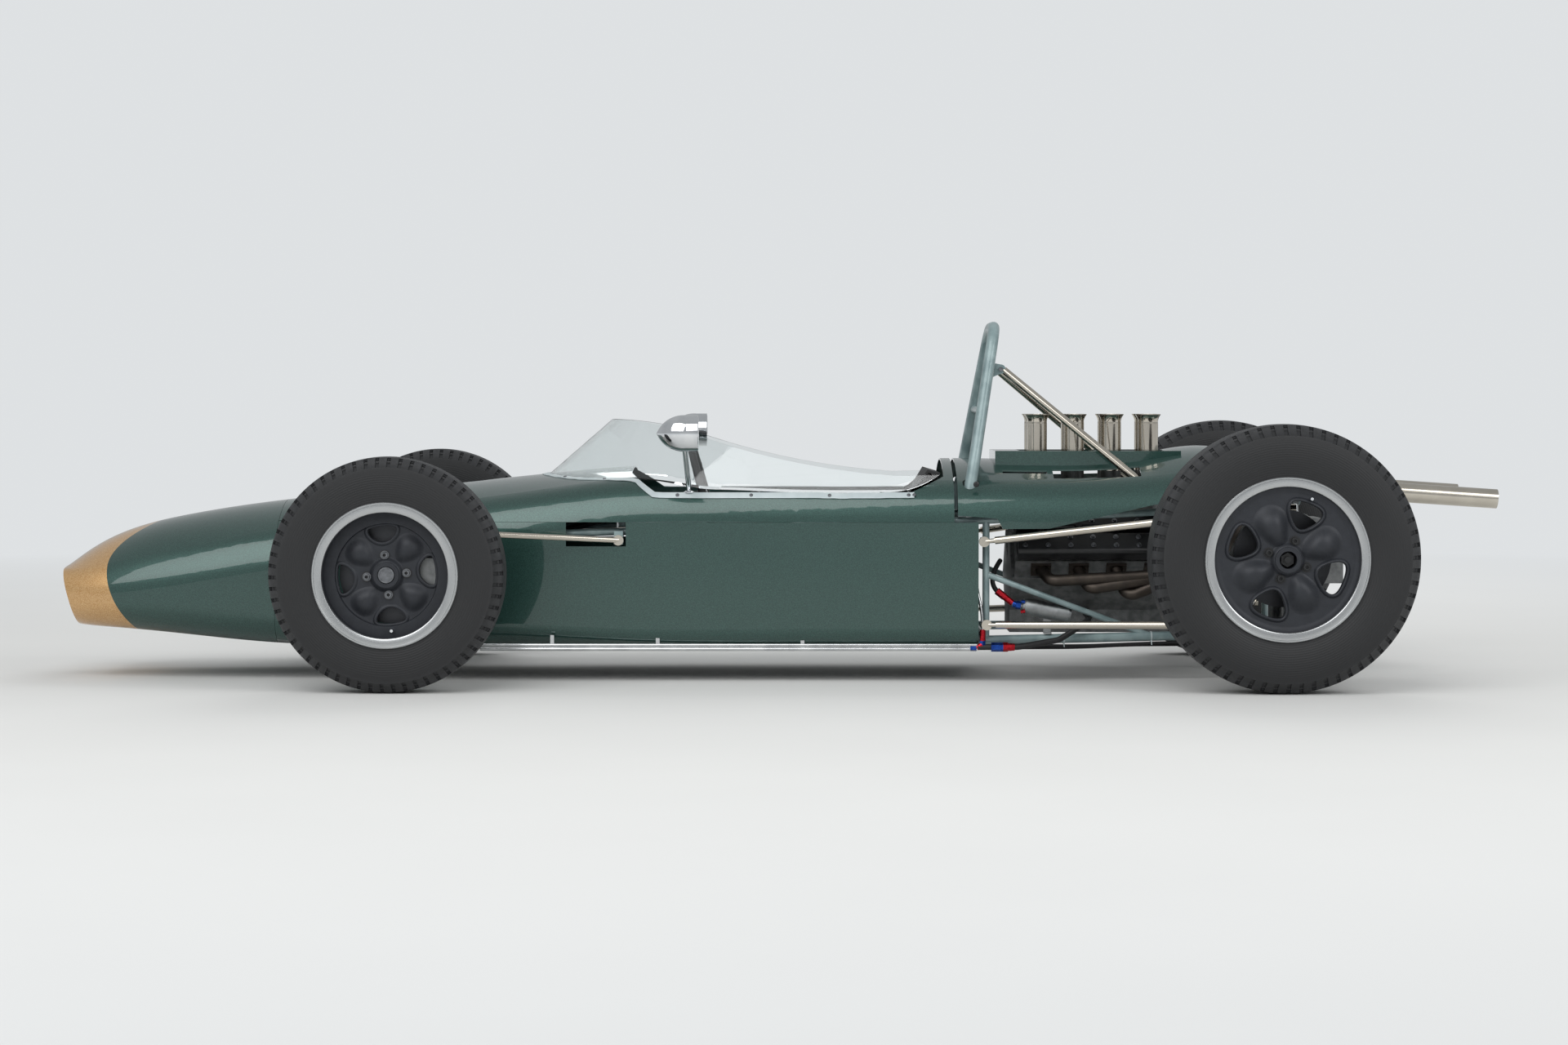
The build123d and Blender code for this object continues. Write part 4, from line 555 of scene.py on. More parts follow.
def tyre(end, side):
    """Racing tyre: grooved tread, and wedge sipes cut into both shoulders."""
    half, tread, rim, bead, sipes = TYRES[end]
    radius = TYRE_RADIUS[end]
    wall = [(rim - BEAD_DEPTH, -bead), (rim + 0.0005, -bead)]
    wall_centre = (rim + radius) / 2 - 0.004
    for turn in range(1, WALL_STEPS):
        share = turn / WALL_STEPS
        height = rim + (radius - SHOULDER[0][0] - rim) * share
        bulge = half - (half - bead) * ((height - wall_centre) / (wall_centre - rim)) ** 2
        wall.append((height, -min(bulge, half)))
    wall += [(radius - drop, -tread - outside) for drop, outside in SHOULDER]
    outline = list(wall)
    for line in range(GROOVES):
        middle = -tread + tread * 2 * (line + 1) / (GROOVES + 1)
        crown = radius - CROWN_DROP * (middle / tread) ** 2 - 0.0002
        for offset, drop in ((-GROOVE_HALF, 0.0), (-GROOVE_HALF * 0.6, GROOVE_DEPTH),
                             (GROOVE_HALF * 0.6, GROOVE_DEPTH), (GROOVE_HALF, 0.0)):
            outline.append((crown - drop, middle + offset))
    outline += [(height, -across) for height, across in reversed(wall)]
    form = bmesh.new()
    centre = (AXLE_X[end], SIDES[side] * TRACK[end] / 2, radius)
    add_spun(form, outline, centre, (0, 1, 0), sipes * STEPS_PER_SIPE)
    clean(form)
    cuts = []
    for face in form.faces:
        middle = face.calc_center_median() - Vector(centre)
        reach = (middle.x ** 2 + middle.z ** 2) ** 0.5
        turn = int((atan2(middle.z, middle.x) + pi) / (2 * pi) * sipes * STEPS_PER_SIPE)
        if abs(middle.y) > tread - 0.001 and reach > radius - SIPE_REACH and turn % STEPS_PER_SIPE == 0:
            cuts.append(face)
    for face in bmesh.ops.extrude_discrete_faces(form, faces=cuts)["faces"]:
        inward = -face.normal * SIPE_DEPTH
        middle = face.calc_center_median()
        for vert in face.verts:
            vert.co += inward + (middle - vert.co) * SIPE_TAPER
    piece(f"grooved_tyre_{end}_{side}", form, rubber[end], (f"tyre_{end}_{side}",),
          body=f"wheel_assembly_{end}_{side}")


for end in AXLE_X:
    for side in SIDES:
        tyre(end, side)

# ---- wheels
# Radii from the axle, heights outwards from the wheel's middle plane, and angles clockwise from the top,
# as seen from outside. A window's points are (radius, distance across) of one of its sides.
WHEELS = {
    "front": {
        "rim": 0.188, "half": 0.082, "barrel": 0.161, "bead": 0.0765, "spider": 0.038, "dish": 0.129,
        "floor": 0.029, "back": 0.0065, "first_window": -5.6, "window_lip": 0.004,
        "window": [(0.126, 0.037), (0.106, 0.037), (0.085, 0.014)],
        "lobe": {"root": 0.042, "reach": 0.129, "half": 0.038, "height": 0.015},
        "valve": (0.144, 174.3), "bolt": "bright",
    },
    "rear": {
        "rim": 0.212, "half": 0.098, "barrel": 0.186, "bead": 0.0925, "spider": 0.084, "dish": 0.174,
        "floor": 0.082, "back": 0.0325, "first_window": 20.8, "window_lip": 0.007,
        "window": [(0.153, 0.037), (0.126, 0.046), (0.084, 0.013)],
        "lobe": {"root": 0.030, "reach": 0.152, "half": 0.044, "height": 0.025},
        "valve": (0.167, 20.8), "bolt": "dark",
    },
}
PLATE = 0.012
BORE_RADIUS = 0.0225
BOLT_CIRCLE_RADIUS = 0.0515
BOLT_HEAD_RADIUS = 0.0085
LOBE_RINGS, LOBE_SPOKES = 12, 40
LOBE_SKIRT = 0.004


def clock(angle, reach, across=0.0):
    """A point on the wheel's face: reach from the axle at a clock angle, then across to the right of it."""
    turn = radians(angle)
    return Vector((reach * sin(turn) + across * cos(turn), reach * cos(turn) - across * sin(turn)))


def wheel_frame(end, side):
    """A wheel's own frame: x right and y up as seen from outside, z outwards."""
    out = SIDES[side]
    turn = Matrix(((-out, 0.0, 0.0), (0.0, 0.0, out), (0.0, 1.0, 0.0))).to_4x4()
    return Matrix.Translation((AXLE_X[end], out * TRACK[end] / 2, TYRE_RADIUS[end])) @ turn


def window_outline(size, quarter):
    """One window's outline on the wheel's face."""
    edge = size["window"]
    corners = edge + [(reach, -across) for reach, across in reversed(edge)]
    angle = size["first_window"] + 90.0 * quarter
    return rounded([clock(angle, reach, across) for reach, across in corners])


def add_lobe(form, size, quarter):
    """A teardrop swelling between two windows, running smoothly out into the face."""
    lobe = size["lobe"]
    angle = size["first_window"] + 45.0 + 90.0 * quarter
    middle = (lobe["root"] + lobe["reach"]) / 2
    length = (lobe["reach"] - lobe["root"]) / 2
    loops = []
    for ring in range(LOBE_RINGS, 0, -1):
        share = ring / LOBE_RINGS
        fade = share ** 1.5
        height = size["floor"] - 0.0004 + lobe["height"] * (1.0 - 3.0 * fade ** 2 + 2.0 * fade ** 3)
        loop = []
        for spoke in range(LOBE_SPOKES):
            turn = 2 * pi * spoke / LOBE_SPOKES
            across = lobe["half"] * share * sin(turn) * (1.0 + 0.3 * cos(turn))
            loop.append((*clock(angle, middle + length * share * cos(turn), across), height))
        loops.append(loop)
    skirt = [(x, y, size["floor"] - LOBE_SKIRT) for x, y, _ in loops[0]]
    add_loops(form, [skirt] + loops)


def cast_wheel(end, side):
    """A cast wheel: bright-turned rim, dished face with four windows, four lobes and a boss."""
    size = WHEELS[end]
    rim, half, barrel, bead, floor = (size[key] for key in ("rim", "half", "barrel", "bead", "floor"))
    well = rim - 0.0185
    form = bmesh.new()
    add_spun(form, [
        (barrel, half - 0.010), (barrel + 0.002, half - 0.002), (barrel + 0.005, half - 0.0005),
        (rim - 0.006, half - 0.0015), (rim - 0.005, half), (rim - 0.0015, half), (rim, half - 0.0015),
        (rim, bead), (well, bead), (well, -bead), (rim, -bead), (rim, 0.001 - half), (rim - 0.001, -half),
        (barrel + 0.001, -half), (barrel, 0.001 - half),
    ], ORIGIN, UP, 120)
    add_spun(form, [
        (barrel + 0.001, size["spider"]), (size["dish"] + 0.004, size["spider"]),
        (size["dish"] + 0.0015, floor + 0.0005), (size["dish"] - 0.003, floor + 0.0002),
        (size["dish"] - 0.003, floor - PLATE - 0.0002), (barrel + 0.001, size["spider"] - 0.016),
    ], ORIGIN, UP, 120)
    windows = [window_outline(size, quarter) for quarter in range(4)]
    add_plate(form, [circle(size["dish"], 96), circle(0.023, 48)] + windows, floor, PLATE)
    lip = size["window_lip"]
    for outline in windows:
        # columns: distance outside the window, height over the face
        steps = [(0.011, -0.0006), (0.0085, lip * 0.35), (0.006, lip * 0.85), (0.0035, lip),
                 (0.0012, lip * 0.75), (0.0003, 0.0), (0.0003, -PLATE + 0.001), (0.006, -PLATE + 0.001)]
        add_loops(form, [[(x, y, floor + height) for x, y in grown(outline, amount)]
                         for amount, height in steps], closed=True)
    for quarter in range(4):
        add_lobe(form, size, quarter)
    add_spun(form, [
        (BORE_RADIUS, size["back"]), (0.046, size["back"]), (0.046, floor), (0.041, floor + 0.003),
        (0.038, floor + 0.010), (0.034, floor + 0.012), (0.033, floor + 0.016), (BORE_RADIUS, floor + 0.016),
    ], ORIGIN, UP, 64)
    move(form, wheel_frame(end, side))
    piece(f"cast_wheel_{end}_{side}", form, magnesium[end], (f"wheel_{end}_{side}",), 42.0,
          f"wheel_assembly_{end}_{side}")


def add_socket_bolt(form, x, y, height, head):
    """A socket-head bolt on a washer, its head outwards."""
    place = (x, y, height)
    add_spun(form, [(0.0, 0.0), (head * 1.3, 0.0), (head * 1.3, 0.002), (0.0, 0.002)], place, UP, 24)
    add_spun(form, [
        (0.0, 0.0021), (head, 0.0021), (head, head + 0.0012), (head * 0.9, head + 0.002),
        (head * 0.52, head + 0.002), (head * 0.48, 0.005), (0.0, 0.005),
    ], place, UP, 24)


def wheel_fittings(end, side):
    """Four socket bolts with dark washers, a black disc painted as shade at the floor of each socket, a tyre
    valve, and the hub's cap or nut.
    """
    size = WHEELS[end]
    floor = size["floor"]
    bright = size["bolt"] == "bright"
    bolt_places = [clock(size["first_window"] + 90.0 * quarter, BOLT_CIRCLE_RADIUS) for quarter in range(4)]

    def fit(name, form, material):
        move(form, wheel_frame(end, side))
        piece(f"{name}_{end}_{side}", form, material, body=f"wheel_assembly_{end}_{side}")

    form = bmesh.new()
    for x, y in bolt_places:
        add_socket_bolt(form, x, y, floor + 0.001, BOLT_HEAD_RADIUS)
    if bright:
        add_spun(form, [(0.0, 0.0), (0.0215, 0.0), (0.0215, 0.017), (0.0205, 0.0185), (0.0165, 0.0185),
                        (0.016, 0.0172), (0.0, 0.0172)], (0, 0, floor), UP, 48)
        fit("wheel_bolts", form, turned_steel)
    else:
        add_cone(form, (0, 0, floor - 0.012), UP, 0.010, 0.0185, 0.0185, 6)
        add_cone(form, (0, 0, floor - 0.004), UP, 0.010, 0.0085, 0.0085, 16)
        fit("wheel_bolts", form, black_enamel)

    form = bmesh.new()
    for x, y in bolt_places:
        add_cone(form, (x, y, floor + 0.0002), UP, 0.0012, 0.0135, 0.0135, 32)
        # A black hex disc at the floor of each bolt's socket: painted shade in the recess.
        add_cone(form, (x, y, floor + 0.0055), UP, 0.0012, 0.0041, 0.0041, 6)
    fit("bolt_washers", form, hose_rubber)

    form = bmesh.new()
    reach, angle = size["valve"]
    x, y = clock(angle, reach)
    add_cone(form, (x, y, size["spider"] - 0.002), UP, 0.010, 0.006, 0.0048, 16)
    add_spun(form, [(0.0, 0.0), (0.0046, 0.0), (0.005, 0.001), (0.005, 0.009), (0.004, 0.0105),
                    (0.0, 0.0105)], (x, y, size["spider"] + 0.0078), UP, 16)
    fit("tyre_valve", form, chrome)


for end in AXLE_X:
    for side in SIDES:
        cast_wheel(end, side)
        wheel_fittings(end, side)

# ---- springs and dampers
# columns: foot, top, coil radius, wire radius, turns
SPRINGS = {
    "front": ((-1.0385, 0.530, 0.222), (-1.0665, 0.228, 0.425), 0.028, 0.0045, 8),
    "rear": ((1.3895, 0.515, 0.204), (1.3915, 0.360, 0.487), 0.030, 0.0050, 8),
}


def spring_damper(end):
    """Both coil springs of one axle, and their dampers with seats, rods and end eyes."""
    foot, top, coil, wire, turns = SPRINGS[end]
    coils, dampers = bmesh.new(), bmesh.new()
    eye_half = Vector((0.008, 0, 0))
    for out in SIDES.values():
        low, high = mirrored(foot, out), mirrored(top, out)
        add_coil(coils, low.lerp(high, 0.255), low.lerp(high, 0.80), coil, wire, turns)
        # Lower rod, damper body and upper rod; columns: from and to as shares of the span, radius, sides
        for start, end_share, radius, sides in ((0.04, 0.09, 0.0075, 16), (0.07, 0.62, 0.0195, 32),
                                                (0.60, 0.96, 0.0075, 16)):
            add_rod(dampers, low.lerp(high, start), low.lerp(high, end_share), radius, sides)
        for share in (0.225, 0.805):
            add_rod(dampers, low.lerp(high, share), low.lerp(high, share + 0.022), coil + wire + 0.001, 40)
        for point in (low, high):
            add_rod(dampers, point - eye_half, point + eye_half, 0.0138, 24)
    piece(f"coil_springs_{end}", coils, black_enamel, (f"{end}_spring_dampers",))
    piece(f"damper_bodies_{end}", dampers, sheet_alloy)


for end in AXLE_X:
    spring_damper(end)

# ---- windscreen fixing
# The screen's outer face is half an ellipse in front and straight behind, and it leans in with height.
SCREEN_FOOT, SCREEN_FOOT_HEIGHT = FRONT_AXLE + 0.373, 0.552
SCREEN_RAKE, SCREEN_LEAN = 1.1533, 0.55
SCREEN_HALF, SCREEN_HALF_HEIGHT = 0.318, 0.510
SCREEN_CURVE, SCREEN_SIDE = 0.512, 1.09
STRIP_WIDTH = 0.018
STRIP_STEPS, STRIP_END = 72, 0.995
SEARCH_TOP, SEARCH_STEP, SEARCH_COUNT = 0.60, 0.001, 140
OUTSIDE_Y = -0.6
SCREW_X = (-0.568, -0.4545, -0.2595, -0.0525, 0.147, 0.3565, 0.4150)
SCREW_OUTLINE = [(0.0, 0.0), (0.0050, 0.0), (0.0050, 0.0012), (0.0036, 0.0026), (0.0, 0.0030)]
cowl_surface = BVHTree.FromObject(bpy.data.objects["cockpit_cowl"], bpy.context.evaluated_depsgraph_get())


def screen_point(share, height):
    """A point of the screen's outer face: share 0 is its tip and 1 its back end, on the car's left."""
    tip = SCREEN_FOOT + (height - SCREEN_FOOT_HEIGHT) * SCREEN_RAKE
    half = SCREEN_HALF - SCREEN_LEAN * (height - SCREEN_HALF_HEIGHT)
    if share < 0.5:
        turn = share * pi
        return Vector((tip + SCREEN_CURVE * (1.0 - cos(turn)), -half * sin(turn), height))
    return Vector((tip + SCREEN_CURVE + (share - 0.5) * SCREEN_SIDE, -half, height))


def strip_path():
    """Places, normals and outward directions along the foot of the screen on the cowl, tip to back."""
    path = []
    for step in range(STRIP_STEPS + 1):
        share = step / STRIP_STEPS * STRIP_END
        for drop in range(SEARCH_COUNT):
            point = screen_point(share, SEARCH_TOP - drop * SEARCH_STEP)
            outside = Vector((point.x, OUTSIDE_Y, point.z))
            place, normal, _, _ = cowl_surface.ray_cast(outside, Vector((0, 1, 0)))
            if place is not None and place.y <= min(point.y, -0.002):
                break
        else:
            continue
        turn = min(share, 0.5) * pi
        level = Vector((-cos(turn), -sin(turn), 0.0))
        outwards = (level - normal * level.dot(normal)).normalized()
        path.append((place + outwards * STRIP_WIDTH / 2, normal, outwards))
    return path


def screen_strip():
    """Enamelled fixing strip along the foot of the screen, with its screws."""
    strip, screws = bmesh.new(), bmesh.new()
    path = strip_path()
    half = STRIP_WIDTH / 2
    # columns: distance across the strip, height over the cowl
    corners = [(-half, 0.0004), (-half, 0.0028), (0.0, 0.0028), (half, 0.0020), (half, 0.0003)]
    for out in (1.0, -1.0):
        add_loops(strip, [[mirrored(place + outwards * across + normal * up, out) for across, up in corners]
                          for place, normal, outwards in path])
        for x in SCREW_X:
            place, normal, _ = min(path, key=lambda station: abs(station[0].x - x))
            seat = mirrored(place + normal * 0.0024, out)
            add_spun(screws, SCREW_OUTLINE, seat, mirrored(normal, out), 20)
    piece("screen_fixing_strip", strip, strip_enamel)
    piece("screen_screws", screws, turned_steel)


screen_strip()

# ---- cockpit
WHEEL_CENTRE = Vector((-0.1945, 0.0, 0.498))
COLUMN_AXIS = Vector((0.860, 0.0, 0.232)).normalized()
RIM_RADIUS, GRIP_RADIUS = 0.145, 0.0108
GRIP_STEPS, GRIP_SEAM = 20, 0.0006
SPOKE_OUTLINE = [(0.012, -0.014), (RIM_RADIUS - 0.004, -0.011), (RIM_RADIUS - 0.004, 0.011), (0.012, 0.014)]
# columns: distance from the hub, radius
SPOKE_HOLES = [(0.055, 0.0065), (0.080, 0.0055), (0.103, 0.0045)]
HUB_OUTLINE = [(0.0, -0.010), (0.024, -0.010), (0.026, -0.007), (0.026, 0.0035), (0.012, 0.0055),
               (0.012, 0.0095), (0.0, 0.0095)]
HUB_BOLTS, HUB_BOLT_CIRCLE = 6, 0.019


def steering_wheel():
    """Steering wheel: leather rim sewn along its inside, three drilled alloy spokes and a bolted hub."""
    side = Vector((0, 1, 0))
    turn = Matrix((side, COLUMN_AXIS.cross(side), COLUMN_AXIS)).transposed().to_4x4()
    place = Matrix.Translation(WHEEL_CENTRE) @ turn
    rim = bmesh.new()
    outline = []
    for step in range(GRIP_STEPS):
        angle = 2 * pi * step / GRIP_STEPS
        reach = GRIP_RADIUS - (GRIP_SEAM * 2 if step == GRIP_STEPS // 2 else 0.0)
        outline.append((RIM_RADIUS + reach * cos(angle), reach * sin(angle)))
    add_spun(rim, outline, ORIGIN, UP, 96)
    move(rim, place)
    piece("steering_wheel_rim", rim, seat_vinyl, ("steering_wheel",), body="steering_wheel")
    spokes = bmesh.new()
    for spoke in range(3):
        arm = bmesh.new()
        holes = [[(x + reach, y) for x, y in circle(size, 24)] for reach, size in SPOKE_HOLES]
        add_plate(arm, [SPOKE_OUTLINE] + holes, 0.0015, 0.003)
        move(arm, Matrix.Rotation(radians(30.0 + 120.0 * spoke), 4, "Z"))
        mesh = mesh_of("arm", arm)
        spokes.from_mesh(mesh)
        bpy.data.meshes.remove(mesh)
    add_spun(spokes, HUB_OUTLINE, ORIGIN, UP, 48)
    for bolt in range(HUB_BOLTS):
        angle = 2 * pi / HUB_BOLTS * bolt
        foot = (HUB_BOLT_CIRCLE * cos(angle), HUB_BOLT_CIRCLE * sin(angle), 0.0030)
        add_cone(spokes, foot, UP, 0.0035, 0.0032, 0.0032, 6)
    move(spokes, place)
    piece("steering_wheel_spokes", spokes, sheet_alloy, body="steering_wheel")


# The seat's underside and back, and its far edges, take only a share of the seams' depth.
CHANNELS, STEPS_PER_CHANNEL = 9, 8
SEAM_DEPTH, EDGE_ROUND = 0.009, 0.022
FOLD_DEPTH, FOLD_REACH = 0.008, 0.016
SEAT_OUTLINE_STEP = 0.012
UNDERSIDE_SHARE = 0.3
FAR_SHARE, FAR_REACH = 0.7, 0.16


def seat_pads():
    """Vinyl seat: nine sewn channels, a cross seam at the fold, rounded edges."""
    (front, left, low), (back, right, _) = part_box("seat")
    middle, half = (left + right) / 2, (right - left) / 2 - 0.001
    corners = [Vector(corner) for corner in (
        (front + 0.003, low + 0.004), (front + 0.003, low + 0.042), (0.1845, 0.184),
        (0.4165, 0.567), (0.4535, 0.556), (0.2100, low + 0.004))]
    outline = []
    for here, after in zip(corners, corners[1:] + corners[:1]):
        steps = max(2, int((after - here).length / SEAT_OUTLINE_STEP))
        outline += [here.lerp(after, step / steps) for step in range(steps)]
    centre = sum(outline, Vector((0.0, 0.0))) / len(outline)
    fold = corners[2]
    stations = CHANNELS * STEPS_PER_CHANNEL
    loops = []
    for station in range(stations + 1):
        across = -1.0 + 2.0 * station / stations
        channel = (station % STEPS_PER_CHANNEL) / STEPS_PER_CHANNEL
        valley = SEAM_DEPTH * abs(2.0 * channel - 1.0) ** 5
        edge = half * (1.0 - abs(across))
        rounding = EDGE_ROUND * (1.0 - (1.0 - max(0.0, 1.0 - edge / EDGE_ROUND) ** 2) ** 0.5)
        loop = []
        for i, point in enumerate(outline):
            along = (outline[(i + 1) % len(outline)] - outline[i - 1]).normalized()
            inward = Vector((along.y, -along.x))
            upper = 1.0 if point.x < back - 0.02 and point.y > low + 0.03 else UNDERSIDE_SHARE
            crease = FOLD_DEPTH * max(0.0, 1.0 - (point - fold).length / FOLD_REACH) ** 2
            depth = (valley + crease) * upper + rounding
            if inward.dot(centre - point) < 0 and (centre - point).length > FAR_REACH:
                depth *= FAR_SHARE
            moved = point + inward * depth
            loop.append((moved.x, middle + half * across, moved.y))
        loops.append(loop)
    form = bmesh.new()
    add_loops(form, loops)
    pads = piece("seat_pads", form, seat_vinyl, ("seat",), 50.0)


DASH_FACE = -0.4155
# columns: place across the car, height, radius
GAUGES = [(0.0, 0.505, 0.040), (-0.105, 0.490, 0.026), (0.105, 0.490, 0.026)]


def gauges():
    """Three round instruments on the dashboard: turned rims, black faces, a pointer each."""
    rims, faces, pointers = bmesh.new(), bmesh.new(), bmesh.new()
    for y, z, size in GAUGES:
        seat = Vector((DASH_FACE, y, z))
        add_spun(rims, [(size - 0.004, 0.0), (size, 0.0), (size, 0.009), (size - 0.002, 0.011),
                        (size - 0.004, 0.009)], seat, AFT, 48)
        add_cone(faces, seat, AFT, 0.005, size - 0.0035, size - 0.0035, 48)
        pivot = seat + Vector((0.006, 0, 0))
        lean = Vector((0.0, -0.5, 0.86)) * (size - 0.009)
        add_rod(pointers, pivot, pivot + lean, 0.0009, 8)
    piece("gauge_rims", rims, turned_steel)
    piece("gauge_faces", faces, black_enamel)
    piece("gauge_pointers", pointers, strip_enamel)


MIRROR_FACE = (-0.1986, 0.460, 0.667)
STALK_END = (-0.2265, -0.318, 0.508)


def mirror_fittings():
    """The mirrors' glasses, and a foot under each stalk where it meets the cowl."""
    glass, feet = bmesh.new(), bmesh.new()
    place, normal, _, _ = cowl_surface.find_nearest(Vector(STALK_END))
    for out in SIDES.values():
        add_spun(glass, [(0.0, 0.0), (0.0445, 0.0), (0.0435, 0.0009), (0.0, 0.0012)],
                 mirrored(MIRROR_FACE, out), AFT, 64)
        add_spun(feet, [(0.0, 0.0003), (0.015, 0.0003), (0.015, 0.002), (0.009, 0.006), (0.0, 0.0065)],
                 mirrored(place, -out), mirrored(normal, -out), 32)
    piece("mirror_glasses", glass, mirror_glass)
    piece("mirror_stalk_feet", feet, chrome)


steering_wheel()
seat_pads()
gauges()
mirror_fittings()

# ---- engine bay
PUMP_FOOT = Vector((0.6785, -0.262, 0.198))
PUMP_TOP = Vector((0.7955, -0.262, 0.176))
RAIL_START = Vector((0.5705, -0.304, 0.1095))
RAIL_END = Vector((1.3915, -0.232, 0.1235))
PIPE_Y = -0.336
BANK_SLANT = sin(pi / 4)
COVER_REACH = 0.3045
PLUG_REACH = 0.3085
NUT_ROWS, NUT_END_GAP = 7, 0.034


def cam_cover_bolts():
    """Nuts in two rows on each of the four cam covers."""
    form = bmesh.new()
    pitch_span = ENGINE_REAR - ENGINE_FRONT - 2 * NUT_END_GAP
    for out in SIDES.values():
        axis = Vector((0, out * BANK_SLANT, BANK_SLANT))
        for across in (-0.060, -0.030, 0.030, 0.060):
            for row in range(NUT_ROWS):
                place = Vector((ENGINE_FRONT + NUT_END_GAP + row * pitch_span / (NUT_ROWS - 1),
                                out * (COVER_REACH + across) * BANK_SLANT,
                                CRANK_Z + (COVER_REACH - across) * BANK_SLANT))
                add_cone(form, place, axis, 0.0015, 0.0075, 0.0075, 20)
                add_cone(form, place + axis * 0.0015, axis, 0.0055, 0.0050, 0.0050, 6)
    piece("cam_cover_nuts", form, turned_steel)


def pump_fittings():
    """Straps and end caps of the fuel pump, and the anodised ends of its hoses and of the side pipes."""
    forms = {"bare": bmesh.new(), "blue": bmesh.new(), "red": bmesh.new()}
    span = PUMP_TOP - PUMP_FOOT
    straps = [PUMP_FOOT + span * share for share in (0.20, 0.34, 0.72)]
    union = PUMP_FOOT - span * 0.10
    # columns: what is added, to which form, and then its own values
    fittings = [(add_rod, "bare", start, start + span * 0.055, 0.0247, 40) for start in straps]
    fittings += [
        (add_rod, "bare", PUMP_FOOT - span * 0.06, PUMP_FOOT, 0.0205, 32),
        (add_rod, "bare", PUMP_FOOT - span * 0.11, PUMP_FOOT - span * 0.05, 0.0085, 16),
        (add_rod, "bare", PUMP_TOP, PUMP_TOP + span * 0.05, 0.0190, 32),
        (add_cone, "blue", union, -span, 0.0130, 0.0115, 0.0115, 6),
        (add_cone, "blue", union + Vector((-0.0125, 0, 0.003)), -span, 0.010, 0.0085, 0.0098, 20),
        (add_rod, "red", (0.6440, -0.262, 0.2070), (0.6230, -0.262, 0.2235), 0.0088, 20),
        (add_rod, "red", (0.6230, -0.262, 0.2235), (0.6020, -0.262, 0.2400), 0.0100, 20),
        (add_cone, "red", (0.6770, -0.285, 0.186), (-1, 0, -0.15), 0.012, 0.0045, 0.0045, 6),
        (add_cone, "blue", (0.6770, -0.282, 0.211), (-1, 0, 0.1), 0.010, 0.0050, 0.0050, 6),
        # Where the side pipes end: blue nuts, red collars, and a red elbow up to the braided pipe.
        (add_cone, "blue", (0.5270, PIPE_Y, 0.0905), AFT, 0.0165, 0.0085, 0.0085, 6),
        (add_cone, "blue", (0.5830, PIPE_Y, 0.093), AFT, 0.0320, 0.0125, 0.0125, 6),
        (add_cone, "red", (0.6150, PIPE_Y, 0.093), AFT, 0.0130, 0.0128, 0.0128, 6),
        (add_cone, "red", (0.6280, PIPE_Y, 0.093), AFT, 0.0180, 0.0110, 0.0095, 24),
        (add_rod, "red", (0.5450, PIPE_Y, 0.0905), (0.5600, PIPE_Y, 0.100), 0.0078, 20),
        (add_rod, "blue", (0.5600, PIPE_Y, 0.098), (0.5600, PIPE_Y, 0.110), 0.0088, 6),
        (add_rod, "red", (0.5600, PIPE_Y, 0.110), (0.5600, PIPE_Y, 0.140), 0.0080, 20),
        (add_rod, "bare", (0.5650, PIPE_Y, 0.093), (0.5835, PIPE_Y, 0.093), 0.0075, 20),
    ]
    for add, metal, *values in fittings:
        add(forms[metal], *values)
    piece("pump_bands", forms["bare"], sheet_alloy)
    piece("blue_hose_ends", forms["blue"], blue_anodised, (), 30.0)
    piece("red_hose_ends", forms["red"], red_anodised, (), 30.0)


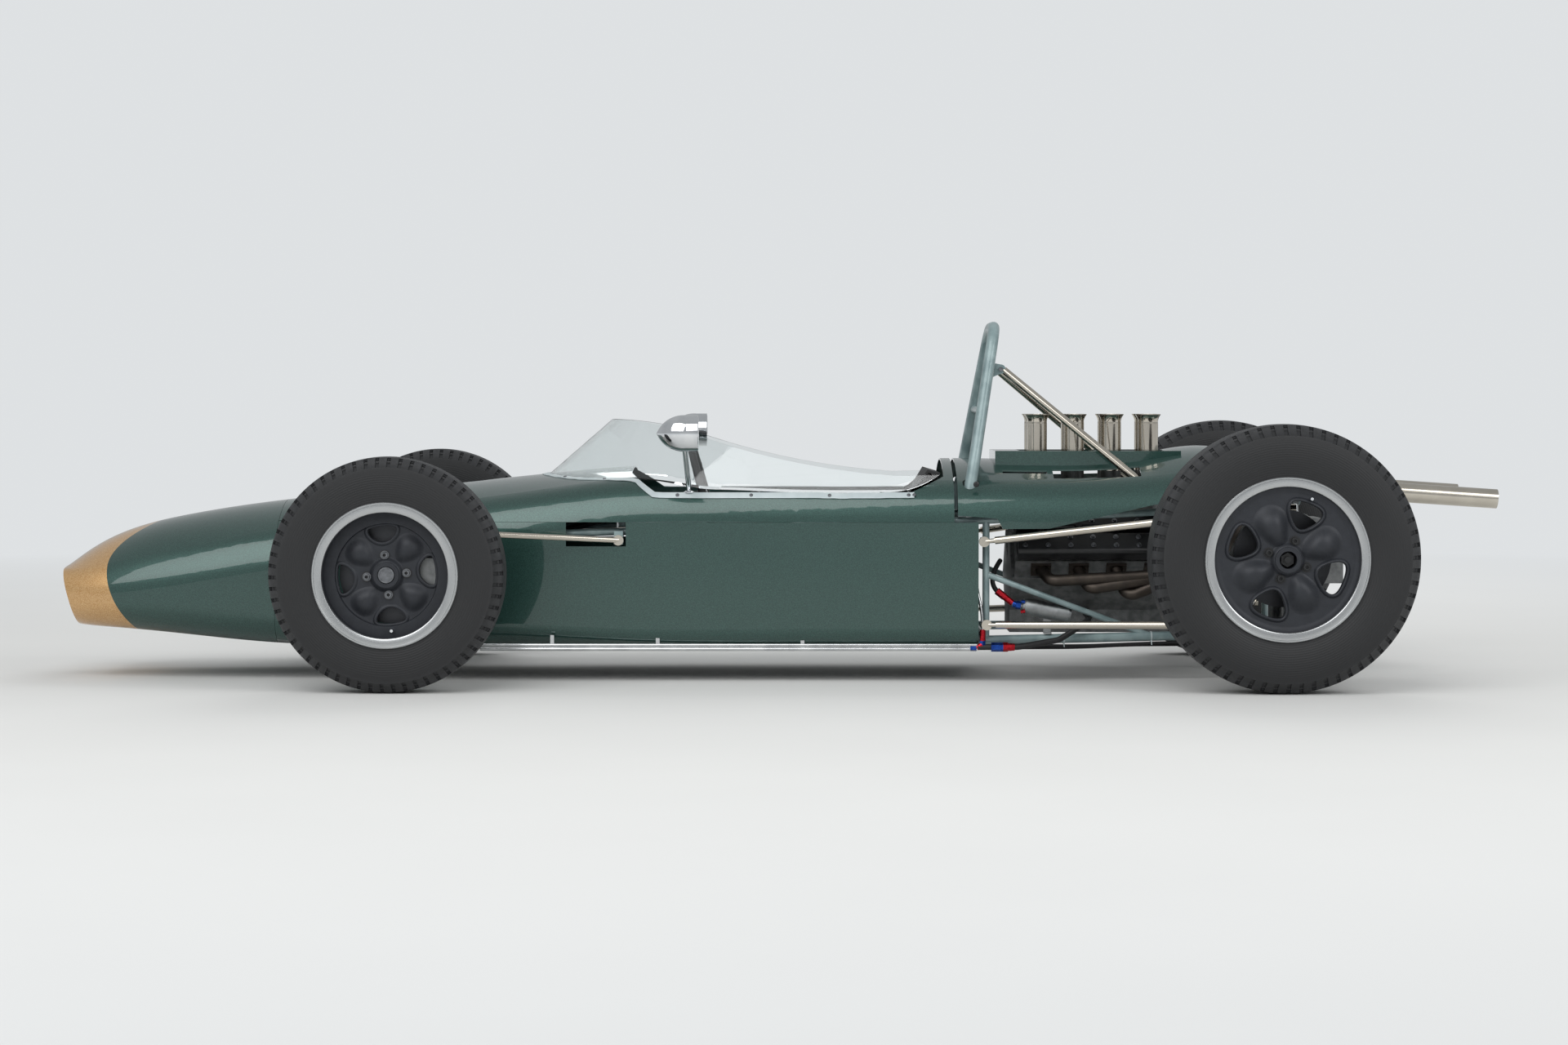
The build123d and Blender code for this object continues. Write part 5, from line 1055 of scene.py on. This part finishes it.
def bay_hoses():
    """Braided pipe up the post, feed to the pump, wiring loom along the rail, and plug caps."""
    hose("braided_pipe", [(0.5600, PIPE_Y, 0.138), (0.5600, PIPE_Y, 0.165), (0.5560, -0.332, 0.200),
                          (0.5480, -0.326, 0.235), (0.5440, -0.322, 0.262)],
         0.0042, bright_tube)
    hose("pump_feed", [(0.6030, -0.262, 0.2392), (0.590, -0.262, 0.252), (0.592, -0.240, 0.290),
                       (0.615, -0.205, 0.320)], 0.0065, hose_rubber)
    for turn, drop in enumerate((0.0, 0.006)):
        points = []
        for step in range(7):
            place = RAIL_START.lerp(RAIL_END, 0.02 + step * 0.145)
            sag = 0.006 * sin(step * 2.1 + turn)
            points.append((place.x, place.y - 0.006 + turn * 0.009, place.z - 0.0185 - drop + sag * 0.4))
        hose(f"wiring_loom_{turn + 1}", points, 0.0036, hose_rubber)
    for side, out in SIDES.items():
        caps = bmesh.new()
        axis = Vector((0, out * BANK_SLANT, BANK_SLANT))
        for x in CYLINDERS:
            foot = Vector((x, out * PLUG_REACH * BANK_SLANT, CRANK_Z + PLUG_REACH * BANK_SLANT))
            add_rod(caps, foot - axis * 0.012, foot + axis * 0.014, 0.0085, 20)
        piece(f"plug_caps_{side}", caps, hose_rubber)


def ties():
    """Two pale nylon ties round the lower rail, and the black knob at the foot of the hoop."""
    form = bmesh.new()
    for share in (0.256, 0.545):
        place = RAIL_START.lerp(RAIL_END, share)
        add_spun(form, [(0.0131, -0.002), (0.0143, -0.002), (0.0143, 0.002), (0.0131, 0.002)],
                 place, RAIL_END - RAIL_START, 32)
        add_rod(form, place + Vector((0, -0.012, -0.010)), place + Vector((0.001, -0.016, -0.022)), 0.0016, 8)
    piece("rail_ties", form, strip_enamel)
    form = bmesh.new()
    add_spun(form, [(0.0, 0.0), (0.006, 0.0), (0.008, 0.004), (0.0075, 0.010), (0.0, 0.013)],
             (0.5420, -0.3250, 0.5290), (0.1, -1, 0), 24)
    piece("hoop_knob", form, black_enamel)


STAY_Y, STAY_BOLT_X, STAY_BOLT_Z = 0.128, 0.619, 0.839
LUG_ROUND, LUG_OFFSET, LUG_HALF = 0.013, 0.008, 0.002


def stay_lugs():
    """Lug plates that carry the tops of the hoop's stays, each with its bolt."""
    lugs, bolts = bmesh.new(), bmesh.new()
    outline = [(0.586, 0.858), (0.586, 0.812), (0.612, 0.824)]
    for turn in range(-4, 5):
        angle = turn * pi / 8
        outline.append((STAY_BOLT_X + LUG_ROUND * cos(angle), STAY_BOLT_Z + LUG_ROUND * sin(angle)))
    for out in SIDES.values():
        for offset in (-LUG_OFFSET, LUG_OFFSET):
            y = out * STAY_Y + offset
            add_loops(lugs, [[(x, y + edge, z) for x, z in outline] for edge in (-LUG_HALF, LUG_HALF)])
        ends = [(STAY_BOLT_X, out * STAY_Y + edge, STAY_BOLT_Z) for edge in (-0.0155, 0.0155)]
        add_rod(bolts, *ends, 0.0065, 6)
    piece("stay_lugs", lugs, frame_enamel)
    piece("stay_bolts", bolts, turned_steel)


cam_cover_bolts()
stay_lugs()
pump_fittings()
bay_hoses()
ties()
